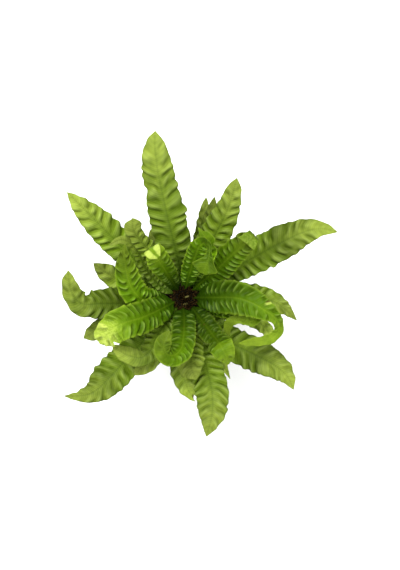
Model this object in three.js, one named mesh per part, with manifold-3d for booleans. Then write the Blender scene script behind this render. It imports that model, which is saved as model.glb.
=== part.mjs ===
// A crisp-waved bird's nest fern growing in a plain round nursery pot. Millimetres, +Z up. The
// origin is the centre of the pot's underside, so the pot stands on z = 0. The fern is a rosette:
// strap-shaped fronds with pleated, waved blades stand in the flank of a short rhizome that is
// clothed in dark scales. Old fronds lie low, young ones rise steeply inside them, and several tips
// roll back over themselves.

import * as THREE from 'three';
import { mergeVertices } from 'three/addons/utils/BufferGeometryUtils.js';
import Module from 'manifold-3d';

const wasm = await Module();
wasm.setup();

// The pot: a tapered round wall, a stepped rim band, and a flat underside with drain holes in a ring
// channel.
const POT_HEIGHT = 112;
const RIM_RADIUS = 66;
const RIM_BAND = 17;
const RIM_STEP = 2.6;
const FOOT_RADIUS = 47;
const CHANNEL_INNER = 22;
const CHANNEL_OUTER = 36;
const CHANNEL_DEPTH = 3;
const CHANNEL_SLOPE = 2;
const POT_WALL = 1.8;
const POT_SIDES = 36;
const FOOT_ROUND = 1.2;
const RIM_ROUND = 1.6;
const SHOULDER_SLOPE = 2;
const DRAIN_COUNT = 8;
const DRAIN_RADIUS = 3.6;
const DRAIN_CIRCLE = 29;
const DRAIN_SIDES = 12;

// The gap left between two pieces that touch on the real plant, and the gap round a stalk in its
// socket.
const SEAT_GAP = 0.3;
const SOCKET_GAP = 0.35;

// The soil: fills the pot to just under the rim, lumpy on top, with a plain hole for the rhizome.
const SOIL_TOP = 101;
const SOIL_GAP = 0.6;
const SOIL_LUMP = 1.6;
const SOIL_WAVES = { across: 0.21, along: 0.17, slantwise: 0.37, start: 1.3 };
const SOIL_RINGS = 5;
const SOIL_SIDES = 36;

// The rhizome: a scaly stump, sunk in the soil, dished at the top where the new fronds uncurl.
const CROWN_FOOT = 80;
const CROWN_RADIUS = 19;
const CROWN_TOP = 124;
const CROWN_SIDES = 18;
const CROWN_PROFILE = [
  [0, CROWN_FOOT], [CROWN_RADIUS - 3, CROWN_FOOT], [CROWN_RADIUS, CROWN_FOOT + 8], [CROWN_RADIUS, 105],
  [CROWN_RADIUS - 1.5, 113], [CROWN_RADIUS - 5, 121], [CROWN_RADIUS - 8, CROWN_TOP],
  [5, CROWN_TOP - 1.5], [0, CROWN_TOP - 1],
];
const GOLDEN_ANGLE = Math.PI * (3 - Math.sqrt(5));

// The scales of the rhizome: slim spikes, set round it by the golden angle.
const SCALE_COUNT = 42;
const SCALE_LENGTH = 11;
const SCALE_SHORTENING = 0.35;
const SCALE_WIDTH = 2.4;
const SCALE_THICKNESS = 1.1;
const SCALE_SINK = 2;
const SCALE_CIRCLE = CROWN_RADIUS - 4.5;
const SCALE_DROP = 4;
const SCALE_LEAN = { inner: 8, outer: 60, unevenness: 9 };
const SCALE_SWING = 0.3;

// The croziers: two young fronds that still stand rolled up in the middle of the rhizome.
const CROZIER_TUBE = 1.7;
const CROZIER_HOOK = 2.7;
const CROZIER_STALK = 9;
const CROZIER_BEND = 240;
const CROZIER_BEND_STEP = 40;
const CROZIER_SIDES = 4;
const CROZIER_STEPS = 12;
const CROZIERS = [
  { name: 'crozier_middle', foot: [2, 1, 120], azimuth: 20 },
  { name: 'crozier_south', foot: [4, -8, 117], azimuth: 190 },
];

// The blades: thick along the midrib and thin at the margins, on a narrow stalk that widens into the
// blade.
const STALK_HALF_WIDTH = 1.9;
const STALK_THICKNESS = 3.2;
const STALK_END = 0.07;
const STALK_FADE = 0.2;
const MIDRIB_THICKNESS = 2.2;
const MIDRIB_TAPER = 0.4;
const MARGIN_THICKNESS = 1.1;
const TIP_HALF_WIDTH = 0.5;

// The pleats and lobes of the blades. Pleats slant from the midrib outwards by PLEAT_SLANT of the
// half-width.
const PLEAT_RISE = 0.16;
const PLEAT_FADE = 0.2;
const PLEAT_SLANT = 0.35;
const LOBE_DEPTH = 0.07;
const LOBE_PLEATS = 2;

// Where a midrib bends sharply: how much of the bend's radius the inner margin may take, how many
// frames about a point count as near it, and the bend radius (mm) at which the pleats are half as
// high.
const TURN_ROOM = 0.75;
const TURN_REACH = 3;
const CALM_RADIUS = 11;
const FRAME_STEPS = 96;
const LEVELLING = 0.25;

// Where a frond's stalk leaves the rhizome: how far from its axis, how high, and how steeply
// (degrees). The stalk stands STALK_SINK deep in a socket, which follows the frond for SOCKET_SHARE
// of its length.
const TIERS = {
  low: { radius: 17.5, height: 104, rise: 24 },
  outer: { radius: 16.5, height: 109, rise: 38 },
  middle: { radius: 15, height: 115, rise: 54 },
  inner: { radius: 13, height: 121, rise: 64 },
};
const STALK_SINK = 6;
const SOCKET_SHARE = 0.14;

// Every frond: its tier, the azimuth of its stalk (degrees from +X towards +Y), the points that its
// midrib passes through beyond the rhizome, its full width at each of WIDTH_SHARES of its length,
// the pitch and height of its pleats, the fold of its two halves (degrees, positive for margins
// raised above the midrib), and, where its tip is blunt, half the width of the very tip.
const WIDTH_SHARES = [0.15, 0.3, 0.5, 0.7, 0.85, 0.95];
const FRONDS = [
  {
    name: 'frond_north_long', tier: 'middle', azimuth: 98,
    widths: [20, 40, 49, 45, 39, 23], pitch: 14, pleat: 1.5, fold: 8,
    midrib: [
      [-5, 40, 158], [-12, 68, 190], [-22, 108, 215], [-34, 165, 230], [-38, 198, 234],
      [-38, 220, 234],
    ],
  },
  {
    name: 'frond_northwest_long', tier: 'outer', azimuth: 140,
    widths: [19, 32, 40, 41, 30, 14], pitch: 14, pleat: 1.4, fold: 6,
    midrib: [[-45, 35, 139], [-79, 64, 162], [-115, 100, 185], [-136, 121, 201], [-156, 141, 213]],
  },
  {
    name: 'frond_northwest_upright', tier: 'middle', azimuth: 121,
    widths: [11, 19, 25, 23, 21, 22], pitch: 9, pleat: 1.1, fold: 4,
    midrib: [[-24, 36, 150], [-43, 60, 181], [-60, 79, 199], [-68, 92, 210], [-68, 106, 217]],
  },
  {
    name: 'frond_northwest_sliver', tier: 'middle', azimuth: 156,
    widths: [11, 14, 16, 15, 12, 7], pitch: 9, pleat: 0.9, fold: 14,
    midrib: [[-35, 18, 139], [-53, 42, 163], [-67, 70, 188], [-84, 78, 200], [-101, 71, 201]],
  },
  {
    name: 'frond_northwest_low', tier: 'low', azimuth: 117,
    widths: [14, 20, 24, 22, 17, 9], pitch: 13, pleat: 1.2, fold: 0,
    midrib: [[-21, 40, 116], [-39, 71, 126], [-47, 97, 126]],
  },
  {
    name: 'frond_west_upturned', tier: 'middle', azimuth: 188,
    widths: [20, 36, 38, 34, 25, 8], pitch: 10, pleat: 1.8, fold: 4,
    midrib: [
      [-34, -6, 141], [-56, -3, 168], [-71, 13, 187], [-78, 38, 202], [-80, 57, 212],
      [-79, 72, 216],
    ],
  },
  {
    name: 'frond_north_inner', tier: 'inner', azimuth: 128,
    widths: [14, 21, 28, 32, 28, 22], pitch: 9, pleat: 1.7, fold: 10, tip: 3,
    midrib: [
      [-15, 21, 150], [-22, 32, 182], [-30, 44, 208], [-38, 56, 228], [-44, 65, 239],
      [-43, 63, 245], [-33, 53, 243],
    ],
  },
  {
    name: 'frond_west_low', tier: 'low', azimuth: 160,
    widths: [14, 22, 28, 29, 25, 12], pitch: 13, pleat: 1.2, fold: 0,
    midrib: [[-35, 16, 118], [-65, 23, 134], [-92, 27, 146], [-112, 38, 156], [-125, 48, 160]],
  },
  {
    name: 'frond_west_long', tier: 'outer', azimuth: 190,
    widths: [22, 36, 45, 37, 26, 16], pitch: 12, pleat: 1.4, fold: 4,
    midrib: [
      [-45, -8, 142], [-79, -8, 164], [-114, -8, 178], [-138, -8, 184], [-150, 3, 190],
      [-155, 19, 195], [-156, 37, 198],
    ],
  },
  {
    name: 'frond_west_under', tier: 'low', azimuth: 205,
    widths: [14, 23, 29, 31, 27, 15], pitch: 14, pleat: 1.2, fold: 0,
    midrib: [[-45, -18, 128], [-86, -31, 142], [-115, -43, 148], [-140, -56, 148]],
  },
  {
    name: 'frond_southwest_bright', tier: 'inner', azimuth: 203,
    widths: [26, 38, 44, 44, 39, 29], pitch: 11, pleat: 1.7, fold: 6, tip: 5,
    midrib: [
      [-36, -17, 166], [-59, -27, 196], [-79, -33, 212], [-91, -39, 214],
      [-101, -48, 207], [-107, -56, 197], [-109, -64, 186],
    ],
  },
  {
    name: 'frond_southwest_curled', tier: 'middle', azimuth: 233,
    widths: [18, 26, 28, 26, 23, 12], pitch: 11, pleat: 1.1, fold: 0,
    midrib: [
      [-24, -32, 146], [-38, -54, 168], [-46, -72, 180], [-58, -81, 183],
      [-74, -79, 182], [-90, -71, 178], [-98, -64, 172],
    ],
  },
  {
    name: 'frond_southwest_long', tier: 'low', azimuth: 226,
    widths: [24, 36, 47, 47, 23, 8], pitch: 13, pleat: 1.6, fold: 2,
    midrib: [
      [-27, -29, 111], [-52, -56, 125], [-79, -84, 140], [-101, -108, 148],
      [-126, -131, 150], [-148, -137, 147], [-168, -137, 142],
    ],
  },
  {
    name: 'frond_southwest_under', tier: 'outer', azimuth: 243,
    widths: [18, 28, 34, 33, 26, 13], pitch: 13, pleat: 1.3, fold: 0,
    midrib: [[-20, -38, 132], [-36, -67, 152], [-53, -90, 160], [-69, -107, 156]],
  },
  {
    name: 'frond_south_curled', tier: 'inner', azimuth: 266,
    widths: [24, 32, 34, 33, 28, 15], pitch: 8, pleat: 1.5, fold: 6,
    midrib: [
      [0, -32, 164], [-1, -53, 192], [-4, -68, 208], [-13, -76, 219], [-23, -74, 228],
      [-27, -61, 232], [-19, -43, 229],
    ],
  },
  {
    name: 'frond_south_middle', tier: 'middle', azimuth: 282,
    widths: [10, 21, 31, 35, 37, 20], pitch: 9, pleat: 1.0, fold: 2,
    midrib: [[6, -36, 134], [10, -62, 159], [9, -82, 177], [10, -96, 185], [17, -111, 184]],
  },
  {
    name: 'frond_south_under', tier: 'low', azimuth: 266,
    widths: [14, 24, 33, 33, 25, 12], pitch: 14, pleat: 1.3, fold: 0,
    midrib: [[-3, -40, 111], [-5, -72, 124], [-1, -108, 135], [6, -128, 138], [15, -145, 137]],
  },
  {
    name: 'frond_south_long', tier: 'outer', azimuth: 293,
    widths: [22, 36, 44, 46, 36, 15], pitch: 11, pleat: 1.4, fold: 4,
    midrib: [
      [15, -40, 122], [23, -69, 138], [33, -104, 158], [39, -134, 171], [38, -161, 175],
      [31, -190, 172],
    ],
  },
  {
    name: 'frond_southeast_low', tier: 'low', azimuth: 303,
    widths: [14, 22, 24, 18, 10, 4], pitch: 13, pleat: 1.1, fold: 0,
    midrib: [[29, -43, 112], [46, -74, 122], [65, -114, 127]],
  },
  {
    name: 'frond_southeast_curled', tier: 'middle', azimuth: 309,
    widths: [19, 30, 32, 29, 31, 16], pitch: 8, pleat: 1.4, fold: 4,
    midrib: [
      [25, -32, 160], [38, -49, 190], [46, -59, 212], [51, -67, 224], [56, -77, 222],
      [59, -89, 212],
    ],
  },
  {
    name: 'frond_east_bright', tier: 'inner', azimuth: 0,
    widths: [28, 44, 43, 15, 14, 9], pitch: 11, pleat: 1.8, fold: 4,
    midrib: [
      [43, 1, 180], [72, 0, 206], [92, -7, 216], [107, -16, 218], [120, -25, 213],
      [127, -36, 206], [125, -48, 201], [114, -56, 200], [97, -59, 202], [73, -61, 204],
    ],
  },
  {
    name: 'frond_east_behind', tier: 'low', azimuth: 12,
    widths: [14, 24, 29, 31, 19, 7], pitch: 13, pleat: 1.3, fold: 2,
    midrib: [
      [41, 8, 124], [81, 7, 144], [110, 0, 154], [128, -7, 157], [142, -17, 155],
      [157, -31, 147],
    ],
  },
  {
    name: 'frond_east_low', tier: 'low', azimuth: 343,
    widths: [16, 24, 26, 22, 18, 10], pitch: 12, pleat: 1.2, fold: 0,
    midrib: [[41, -13, 118], [75, -22, 136], [104, -34, 150], [117, -48, 156], [118, -64, 154]],
  },
  {
    name: 'frond_east_rolled', tier: 'outer', azimuth: 340,
    widths: [12, 19, 18, 14, 13, 9], pitch: 12, pleat: 1.2, fold: 8,
    midrib: [
      [38, -14, 142], [66, -20, 168], [90, -21, 184], [100, -27, 190], [92, -32, 192],
      [76, -29, 192], [64, -32, 189], [59, -41, 185], [62, -52, 180],
    ],
  },
  {
    name: 'frond_southeast_long', tier: 'outer', azimuth: 319,
    widths: [20, 36, 45, 44, 30, 13], pitch: 16, pleat: 1.4, fold: 4,
    midrib: [
      [34, -33, 134], [64, -61, 156], [95, -77, 168], [122, -91, 173], [141, -107, 172],
      [151, -126, 166],
    ],
  },
  {
    name: 'frond_northeast_long', tier: 'outer', azimuth: 29,
    widths: [18, 34, 46, 46, 31, 13], pitch: 14, pleat: 1.5, fold: 4,
    midrib: [
      [41, 24, 142], [75, 44, 166], [109, 63, 186], [140, 79, 202], [166, 90, 212],
      [185, 92, 216], [205, 88, 213],
    ],
  },
  {
    name: 'frond_northeast_curled', tier: 'middle', azimuth: 42,
    widths: [20, 34, 40, 34, 28, 26], pitch: 9, pleat: 1.6, fold: 0, tip: 11,
    midrib: [
      [31, 28, 154], [50, 44, 180], [63, 57, 200], [75, 68, 216], [86, 78, 226],
      [92, 84, 231], [90, 81, 236], [82, 71, 236],
    ],
  },
  {
    name: 'frond_north_northeast_long', tier: 'outer', azimuth: 60,
    widths: [18, 31, 42, 38, 27, 16], pitch: 12, pleat: 1.4, fold: 4,
    midrib: [
      [19, 40, 131], [33, 69, 156], [46, 93, 177], [57, 115, 192], [65, 138, 201],
      [71, 161, 206],
    ],
  },
  {
    name: 'frond_north_low', tier: 'low', azimuth: 89,
    widths: [8, 14, 20, 19, 15, 8], pitch: 13, pleat: 1.1, fold: 0,
    midrib: [[10, 44, 113], [21, 77, 123], [28, 109, 131], [31, 141, 138]],
  },
  {
    name: 'frond_north_under', tier: 'low', azimuth: 69,
    widths: [10, 17, 22, 20, 16, 8], pitch: 13, pleat: 1.1, fold: 0,
    midrib: [[16, 48, 128], [26, 80, 144], [36, 111, 156], [42, 139, 166]],
  },
  {
    name: 'frond_north_northeast_inner', tier: 'middle', azimuth: 64,
    widths: [10, 16, 22, 22, 21, 9], pitch: 8, pleat: 1.4, fold: 4,
    midrib: [[18, 34, 163], [29, 52, 193], [33, 66, 210], [29, 80, 223], [19, 93, 228]],
  },
  {
    name: 'frond_north_northeast_curled', tier: 'inner', azimuth: 80,
    widths: [15, 24, 27, 22, 7, 31], pitch: 8, pleat: 1.3, fold: 4, tip: 4,
    midrib: [
      [5, 24, 150], [9, 38, 178], [14, 54, 206], [20, 68, 226], [28, 73, 238],
      [33, 67, 244], [33, 56, 245], [29, 44, 243], [24, 32, 238],
    ],
  },
];

// A smooth step from 0 to 1 as t goes from 0 to 1.
function smooth(t) {
  const u = THREE.MathUtils.clamp(t, 0, 1);
  return u * u * (3 - 2 * u);
}

// A geometry as a manifold-3d solid.
function solidOf(geometry) {
  const bare = geometry.clone();
  bare.deleteAttribute('normal');
  bare.deleteAttribute('uv');
  const merged = mergeVertices(bare, 1e-4);
  return new wasm.Manifold(new wasm.Mesh({
    numProp: 3,
    vertProperties: new Float32Array(merged.attributes.position.array),
    triVerts: new Uint32Array(merged.index.array),
  }));
}

// A manifold-3d solid as a geometry.
function geometryOf(solid) {
  const mesh = solid.getMesh();
  return new THREE.BufferGeometry()
    .setAttribute('position', new THREE.BufferAttribute(new Float32Array(mesh.vertProperties), 3))
    .setIndex(new THREE.BufferAttribute(new Uint32Array(mesh.triVerts), 1));
}

// A surface turned about +Z from a profile of [radius, height] points, which starts and ends on the
// axis.
function lathe(profile, sides) {
  const points = profile.map(([radius, height]) => new THREE.Vector2(radius, height));
  return new THREE.LatheGeometry(points, sides).rotateX(Math.PI / 2);
}

// An upright cylinder, centred on a point.
function cylinder(radius, height, sides, x, y, z) {
  const geometry = new THREE.CylinderGeometry(radius, radius, height, sides);
  return solidOf(geometry.rotateX(Math.PI / 2).translate(x, y, z));
}

// The pot's outer radius at a height, without the rim band.
function potRadius(height) {
  return THREE.MathUtils.lerp(FOOT_RADIUS, RIM_RADIUS - RIM_STEP, height / POT_HEIGHT);
}

function makePot() {
  const shoulder = POT_HEIGHT - RIM_BAND;
  const floorTop = CHANNEL_DEPTH + POT_WALL;
  const body = lathe([
    [0, 0], [CHANNEL_INNER, 0], [CHANNEL_INNER + CHANNEL_SLOPE, CHANNEL_DEPTH],
    [CHANNEL_OUTER - CHANNEL_SLOPE, CHANNEL_DEPTH], [CHANNEL_OUTER, 0],
    [FOOT_RADIUS - FOOT_ROUND, 0], [FOOT_RADIUS, FOOT_ROUND],
    [potRadius(shoulder - SHOULDER_SLOPE), shoulder - SHOULDER_SLOPE],
    [RIM_RADIUS - RIM_ROUND / 2, shoulder],
    [RIM_RADIUS, POT_HEIGHT - RIM_ROUND], [RIM_RADIUS - RIM_ROUND / 2, POT_HEIGHT - RIM_ROUND / 4],
    [RIM_RADIUS - RIM_ROUND, POT_HEIGHT],
    [RIM_RADIUS - RIM_ROUND - POT_WALL, POT_HEIGHT - RIM_ROUND / 2],
    [potRadius(shoulder) - POT_WALL, shoulder],
    [potRadius(floorTop) - POT_WALL, floorTop], [0, floorTop],
  ], POT_SIDES);
  let pot = solidOf(body);
  for (let i = 0; i < DRAIN_COUNT; i += 1) {
    const angle = (i / DRAIN_COUNT) * 2 * Math.PI;
    pot = pot.subtract(cylinder(DRAIN_RADIUS, 4 * POT_WALL, DRAIN_SIDES,
      DRAIN_CIRCLE * Math.cos(angle), DRAIN_CIRCLE * Math.sin(angle), CHANNEL_DEPTH));
  }
  return pot;
}

// The height of the soil's lumps at a point.
function soilLump(x, y) {
  const broad = Math.sin(SOIL_WAVES.across * x + SOIL_WAVES.start) * Math.cos(SOIL_WAVES.along * y);
  return SOIL_LUMP * (broad + Math.sin(SOIL_WAVES.slantwise * (x - y)) / 2);
}

function makeSoil() {
  const floor = CHANNEL_DEPTH + POT_WALL + SEAT_GAP;
  const inside = (height) => potRadius(height) - POT_WALL - SOIL_GAP;
  const waist = SOIL_TOP - RIM_BAND;
  const profile = [[0, floor], [inside(floor), floor], [inside(waist), waist]];
  for (let ring = 0; ring < SOIL_RINGS; ring += 1) {
    profile.push([inside(waist) * (1 - ring / SOIL_RINGS), SOIL_TOP]);
  }
  profile.push([0, SOIL_TOP]);
  const geometry = lathe(profile, SOIL_SIDES);
  const position = geometry.attributes.position;
  for (let i = 0; i < position.count; i += 1) {
    if (position.getZ(i) > SOIL_TOP - 1) {
      position.setZ(i, SOIL_TOP + soilLump(position.getX(i), position.getY(i)));
    }
  }
  const hole = lathe([
    [0, CROWN_FOOT - SEAT_GAP], [CROWN_RADIUS + SEAT_GAP, CROWN_FOOT - SEAT_GAP],
    [CROWN_RADIUS + SEAT_GAP, CROWN_TOP], [0, CROWN_TOP],
  ], CROWN_SIDES);
  return solidOf(geometry).subtract(solidOf(hole));
}

// The points that a frond's midrib passes through, from inside the rhizome to the tip.
function midribPoints(frond) {
  const tier = TIERS[frond.tier];
  const azimuth = THREE.MathUtils.degToRad(frond.azimuth);
  const rise = THREE.MathUtils.degToRad(tier.rise);
  const level = new THREE.Vector3(Math.cos(azimuth), Math.sin(azimuth), 0);
  const outward = level.clone().multiplyScalar(Math.cos(rise)).setZ(Math.sin(rise));
  const mouth = level.clone().multiplyScalar(tier.radius).setZ(tier.height);
  const root = mouth.clone().addScaledVector(outward, -STALK_SINK);
  return [root, mouth, ...frond.midrib.map(([x, y, z]) => new THREE.Vector3(x, y, z))];
}

// Evenly spaced frames along a midrib: its place, its forward direction, the blade's side and the
// blade's upper face. The side is carried along without twisting, and eased towards level wherever
// the midrib isn't upright. turn is how the forward direction changes with each millimetre.
function midribFrames(frond) {
  const curve = new THREE.CatmullRomCurve3(midribPoints(frond), false, 'centripetal');
  const places = curve.getSpacedPoints(FRAME_STEPS);
  const spacing = curve.getLength() / FRAME_STEPS;
  const up = new THREE.Vector3(0, 0, 1);
  let side = null;
  const frames = places.map((place, i) => {
    const before = places[Math.max(i - 1, 0)];
    const after = places[Math.min(i + 1, FRAME_STEPS)];
    const forward = after.clone().sub(before).normalize();
    const level = new THREE.Vector3().crossVectors(forward, up);
    const flatness = level.length();
    side = (side ?? level).clone();
    side.addScaledVector(forward, -side.dot(forward)).normalize();
    if (flatness > 0) {
      level.divideScalar(flatness * Math.sign(level.dot(side) || 1));
      side.lerp(level, LEVELLING * flatness ** 2).normalize();
    }
    return { place, forward, side, face: new THREE.Vector3().crossVectors(side, forward).normalize() };
  });
  frames.forEach((frame, i) => {
    const next = frames[Math.min(i + 1, FRAME_STEPS)];
    frame.turn = next.forward.clone().sub(frame.forward).divideScalar(spacing);
  });
  return frames;
}

// The frame at a share of the midrib's length, with the sharpest turn nearby: as a whole, and
// towards each margin.
function frameAt(frames, share) {
  const along = THREE.MathUtils.clamp(share, 0, 1) * FRAME_STEPS;
  const i = Math.min(Math.floor(along), FRAME_STEPS - 1);
  const t = along - i;
  const blend = (key) => frames[i][key].clone().lerp(frames[i + 1][key], t);
  const side = blend('side').normalize();
  const near = frames.slice(Math.max(i - TURN_REACH, 0), i + TURN_REACH + 1);
  const sideways = near.map((frame) => frame.turn.dot(frame.side));
  return {
    place: blend('place'),
    side,
    face: blend('face').normalize(),
    sharpest: Math.max(...near.map((frame) => frame.turn.length())),
    towards: { [-1]: Math.max(...sideways.map((turn) => -turn)), 1: Math.max(...sideways) },
  };
}

// The blade's half-width at a share of its length: a smooth curve through the widths of the table,
// from the stalk to the tip.
function halfWidth(frond, share) {
  const shares = [0, STALK_END, ...WIDTH_SHARES, 1];
  const tableHalves = frond.widths.map((width) => width / 2);
  const tip = frond.tip ?? TIP_HALF_WIDTH;
  const halves = [STALK_HALF_WIDTH, STALK_HALF_WIDTH, ...tableHalves, tip];
  const last = shares.length - 1;
  const slope = (k) => {
    const a = Math.max(k - 1, 0);
    const b = Math.min(k + 1, last);
    return (halves[b] - halves[a]) / (shares[b] - shares[a]);
  };
  const at = THREE.MathUtils.clamp(share, 0, 1);
  const k = Math.min(shares.findLastIndex((s) => s <= at), last - 1);
  const span = shares[k + 1] - shares[k];
  const t = (at - shares[k]) / span;
  return halves[k] * (1 + 2 * t) * (1 - t) ** 2 + slope(k) * span * t * (1 - t) ** 2
    + halves[k + 1] * t ** 2 * (3 - 2 * t) + slope(k + 1) * span * t ** 2 * (t - 1);
}

// The pleats grow out of the stalk and die away before the tip.
function pleatShare(share) {
  return smooth((share - STALK_END) / PLEAT_RISE) * smooth((1 - share) / PLEAT_FADE);
}

// The triangles of a blade whose points come by station, then margin, midrib and margin, then upper
// and lower face. Both faces are split along the same diagonals, so that a folded blade can't cross
// itself.
function bladeTriangles(last) {
  const triangles = [];
  const quad = (a, b, c, d) => triangles.push(a, b, c, a, c, d);
  const at = (station, column, under) => 6 * station + 2 * column + under;
  for (let j = 0; j < last; j += 1) {
    for (const column of [0, 1]) {
      quad(at(j, column, 0), at(j, column + 1, 0), at(j + 1, column + 1, 0), at(j + 1, column, 0));
      quad(at(j + 1, column + 1, 1), at(j, column + 1, 1), at(j, column, 1), at(j + 1, column, 1));
    }
    quad(at(j, 0, 1), at(j, 0, 0), at(j + 1, 0, 0), at(j + 1, 0, 1));
    quad(at(j, 2, 0), at(j, 2, 1), at(j + 1, 2, 1), at(j + 1, 2, 0));
  }
  for (const column of [0, 1]) {
    quad(at(0, column, 0), at(0, column, 1), at(0, column + 1, 1), at(0, column + 1, 0));
    quad(at(last, column + 1, 0), at(last, column + 1, 1), at(last, column, 1), at(last, column, 0));
  }
  return triangles;
}

// One frond as a closed solid: three rows of points across, one at each margin and one on the
// midrib, with a station at every crest and trough of the pleats. The margins swell into lobes two
// pleats long. Where the midrib turns sharply the blade is drawn taut, so pleats, fold and lobes
// flatten, and the margin on the inside draws in. grow thickens the frond all round, and until cuts
// it short, for the socket that it stands in.
function makeFrond(frond, grow = 0, until = 1) {
  const frames = midribFrames(frond);
  const steps = frames.slice(1).map((frame, i) => frame.place.distanceTo(frames[i].place));
  const length = steps.reduce((sum, step) => sum + step, 0);
  const stations = 2 * Math.round(length / frond.pitch);
  const last = Math.max(2, Math.round(stations * until));
  const fold = Math.sin(THREE.MathUtils.degToRad(frond.fold));
  const phase = FRONDS.indexOf(frond) * GOLDEN_ANGLE;
  const vertices = [];
  for (let j = 0; j <= last; j += 1) {
    const share = j / stations;
    const stalk = 1 - smooth((share - STALK_END) / STALK_FADE);
    const calm = 1 / (1 + (CALM_RADIUS * frameAt(frames, share).sharpest) ** 2);
    const waves = calm * pleatShare(share);
    for (const across of [-1, 0, 1]) {
      const slant = PLEAT_SLANT * calm * Math.abs(across) * halfWidth(frond, share);
      const slanted = Math.min(share + slant / length, 1);
      const { place, side, face, towards } = frameAt(frames, slanted);
      const lobe = 1 + LOBE_DEPTH * waves * Math.sin((Math.PI * j) / LOBE_PLEATS + phase + across);
      const room = across === 0 || towards[across] <= 0 ? Infinity : TURN_ROOM / towards[across];
      const half = Math.min(halfWidth(frond, slanted) * lobe, room) + grow;
      const crest = frond.pleat * waves * (j % 2 ? 1 : -1);
      const lift = Math.abs(across) * (half * fold * calm + crest);
      const midrib = MIDRIB_THICKNESS * Math.min(1, 1 + MIDRIB_TAPER - share);
      const thickness = across === 0
        ? THREE.MathUtils.lerp(midrib, STALK_THICKNESS, stalk)
        : MARGIN_THICKNESS;
      const middle = place.clone().addScaledVector(side, half * across).addScaledVector(face, lift);
      const top = across === 0 ? MARGIN_THICKNESS / 2 + stalk : thickness / 2;
      vertices.push(middle.clone().addScaledVector(face, top + grow));
      vertices.push(middle.clone().addScaledVector(face, top - thickness - grow));
    }
  }
  return solidOf(new THREE.BufferGeometry().setFromPoints(vertices).setIndex(bladeTriangles(last)));
}

// One scale of the rhizome: a slim three-sided spike, rooted at a place and pointing along a
// direction.
function makeScale(place, direction, length) {
  const spike = new THREE.ConeGeometry(SCALE_WIDTH / 2, length, 3)
    .scale(1, 1, SCALE_THICKNESS / SCALE_WIDTH)
    .translate(0, length / 2 - SCALE_SINK, 0);
  const turn = new THREE.Quaternion().setFromUnitVectors(new THREE.Vector3(0, 1, 0), direction);
  return solidOf(spike.applyQuaternion(turn).translate(place.x, place.y, place.z));
}

// The rhizome with its scales, which stand upright in the middle and lean outwards towards the
// flank.
function makeScalyStump() {
  const pieces = [solidOf(lathe(CROWN_PROFILE, CROWN_SIDES))];
  for (let i = 0; i < SCALE_COUNT; i += 1) {
    const share = (i + 0.5) / SCALE_COUNT;
    const azimuth = i * GOLDEN_ANGLE;
    const radius = SCALE_CIRCLE * Math.sqrt(share);
    const place = new THREE.Vector3(radius * Math.cos(azimuth), radius * Math.sin(azimuth),
      CROWN_TOP - 1 - SCALE_DROP * share ** 3);
    const evenLean = THREE.MathUtils.lerp(SCALE_LEAN.inner, SCALE_LEAN.outer, share);
    const lean = THREE.MathUtils.degToRad(evenLean + SCALE_LEAN.unevenness * Math.sin(5 * i));
    const pointing = azimuth + SCALE_SWING * Math.sin(3 * i);
    const direction = new THREE.Vector3(
      Math.cos(pointing) * Math.sin(lean),
      Math.sin(pointing) * Math.sin(lean),
      Math.cos(lean));
    pieces.push(makeScale(place, direction, SCALE_LENGTH * (1 - SCALE_SHORTENING * share)));
  }
  return wasm.Manifold.union(pieces);
}

// The scaly stump with a socket for every frond and crozier, less the crumbs that the sockets cut
// loose.
function makeCrown() {
  let crown = makeScalyStump();
  for (const frond of FRONDS) crown = crown.subtract(makeFrond(frond, SOCKET_GAP, SOCKET_SHARE));
  for (const crozier of CROZIERS) crown = crown.subtract(makeCrozier(crozier, SOCKET_GAP));
  return crown.decompose().reduce((a, b) => (a.volume() > b.volume() ? a : b));
}

// One crozier: a short stalk that ends in a hook, bent over towards its azimuth.
function makeCrozier(crozier, grow = 0) {
  const azimuth = THREE.MathUtils.degToRad(crozier.azimuth);
  const foot = new THREE.Vector3(...crozier.foot);
  const outward = new THREE.Vector3(Math.cos(azimuth), Math.sin(azimuth), 0);
  const at = (along, height) => foot.clone().addScaledVector(outward, along).setZ(foot.z + height);
  const hook = [at(0, 0), at(0, CROZIER_STALK / 2), at(0, CROZIER_STALK)];
  for (let turn = CROZIER_BEND_STEP; turn <= CROZIER_BEND; turn += CROZIER_BEND_STEP) {
    const angle = THREE.MathUtils.degToRad(turn);
    hook.push(at(CROZIER_HOOK * (1 - Math.cos(angle)), CROZIER_STALK + CROZIER_HOOK * Math.sin(angle)));
  }
  const section = new THREE.Shape().absarc(0, 0, CROZIER_TUBE + grow, 0, 2 * Math.PI);
  return solidOf(new THREE.ExtrudeGeometry(section, {
    extrudePath: new THREE.CatmullRomCurve3(hook),
    steps: CROZIER_STEPS,
    curveSegments: CROZIER_SIDES,
  }));
}

const COLOURS = {
  crozier: { color: '#9a8455', roughness: 0.8, metalness: 0 },
  pot: { color: '#23262a', roughness: 0.55, metalness: 0 },
  soil: { color: '#2e2119', roughness: 1, metalness: 0 },
  crown: { color: '#2b1d18', roughness: 0.9, metalness: 0 },
  frond: { color: '#6d8f26', roughness: 0.5, metalness: 0 },
};

function named(name, solid, finish) {
  const mesh = new THREE.Mesh(geometryOf(solid), new THREE.MeshStandardMaterial(COLOURS[finish]));
  mesh.name = name;
  return mesh;
}

const fern = new THREE.Group();
fern.name = 'potted_fern';
fern.add(named('pot', makePot(), 'pot'));
fern.add(named('soil', makeSoil(), 'soil'));
fern.add(named('crown', makeCrown(), 'crown'));
for (const crozier of CROZIERS) fern.add(named(crozier.name, makeCrozier(crozier), 'crozier'));
for (const frond of FRONDS) fern.add(named(frond.name, makeFrond(frond), 'frond'));

export default fern;
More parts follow.
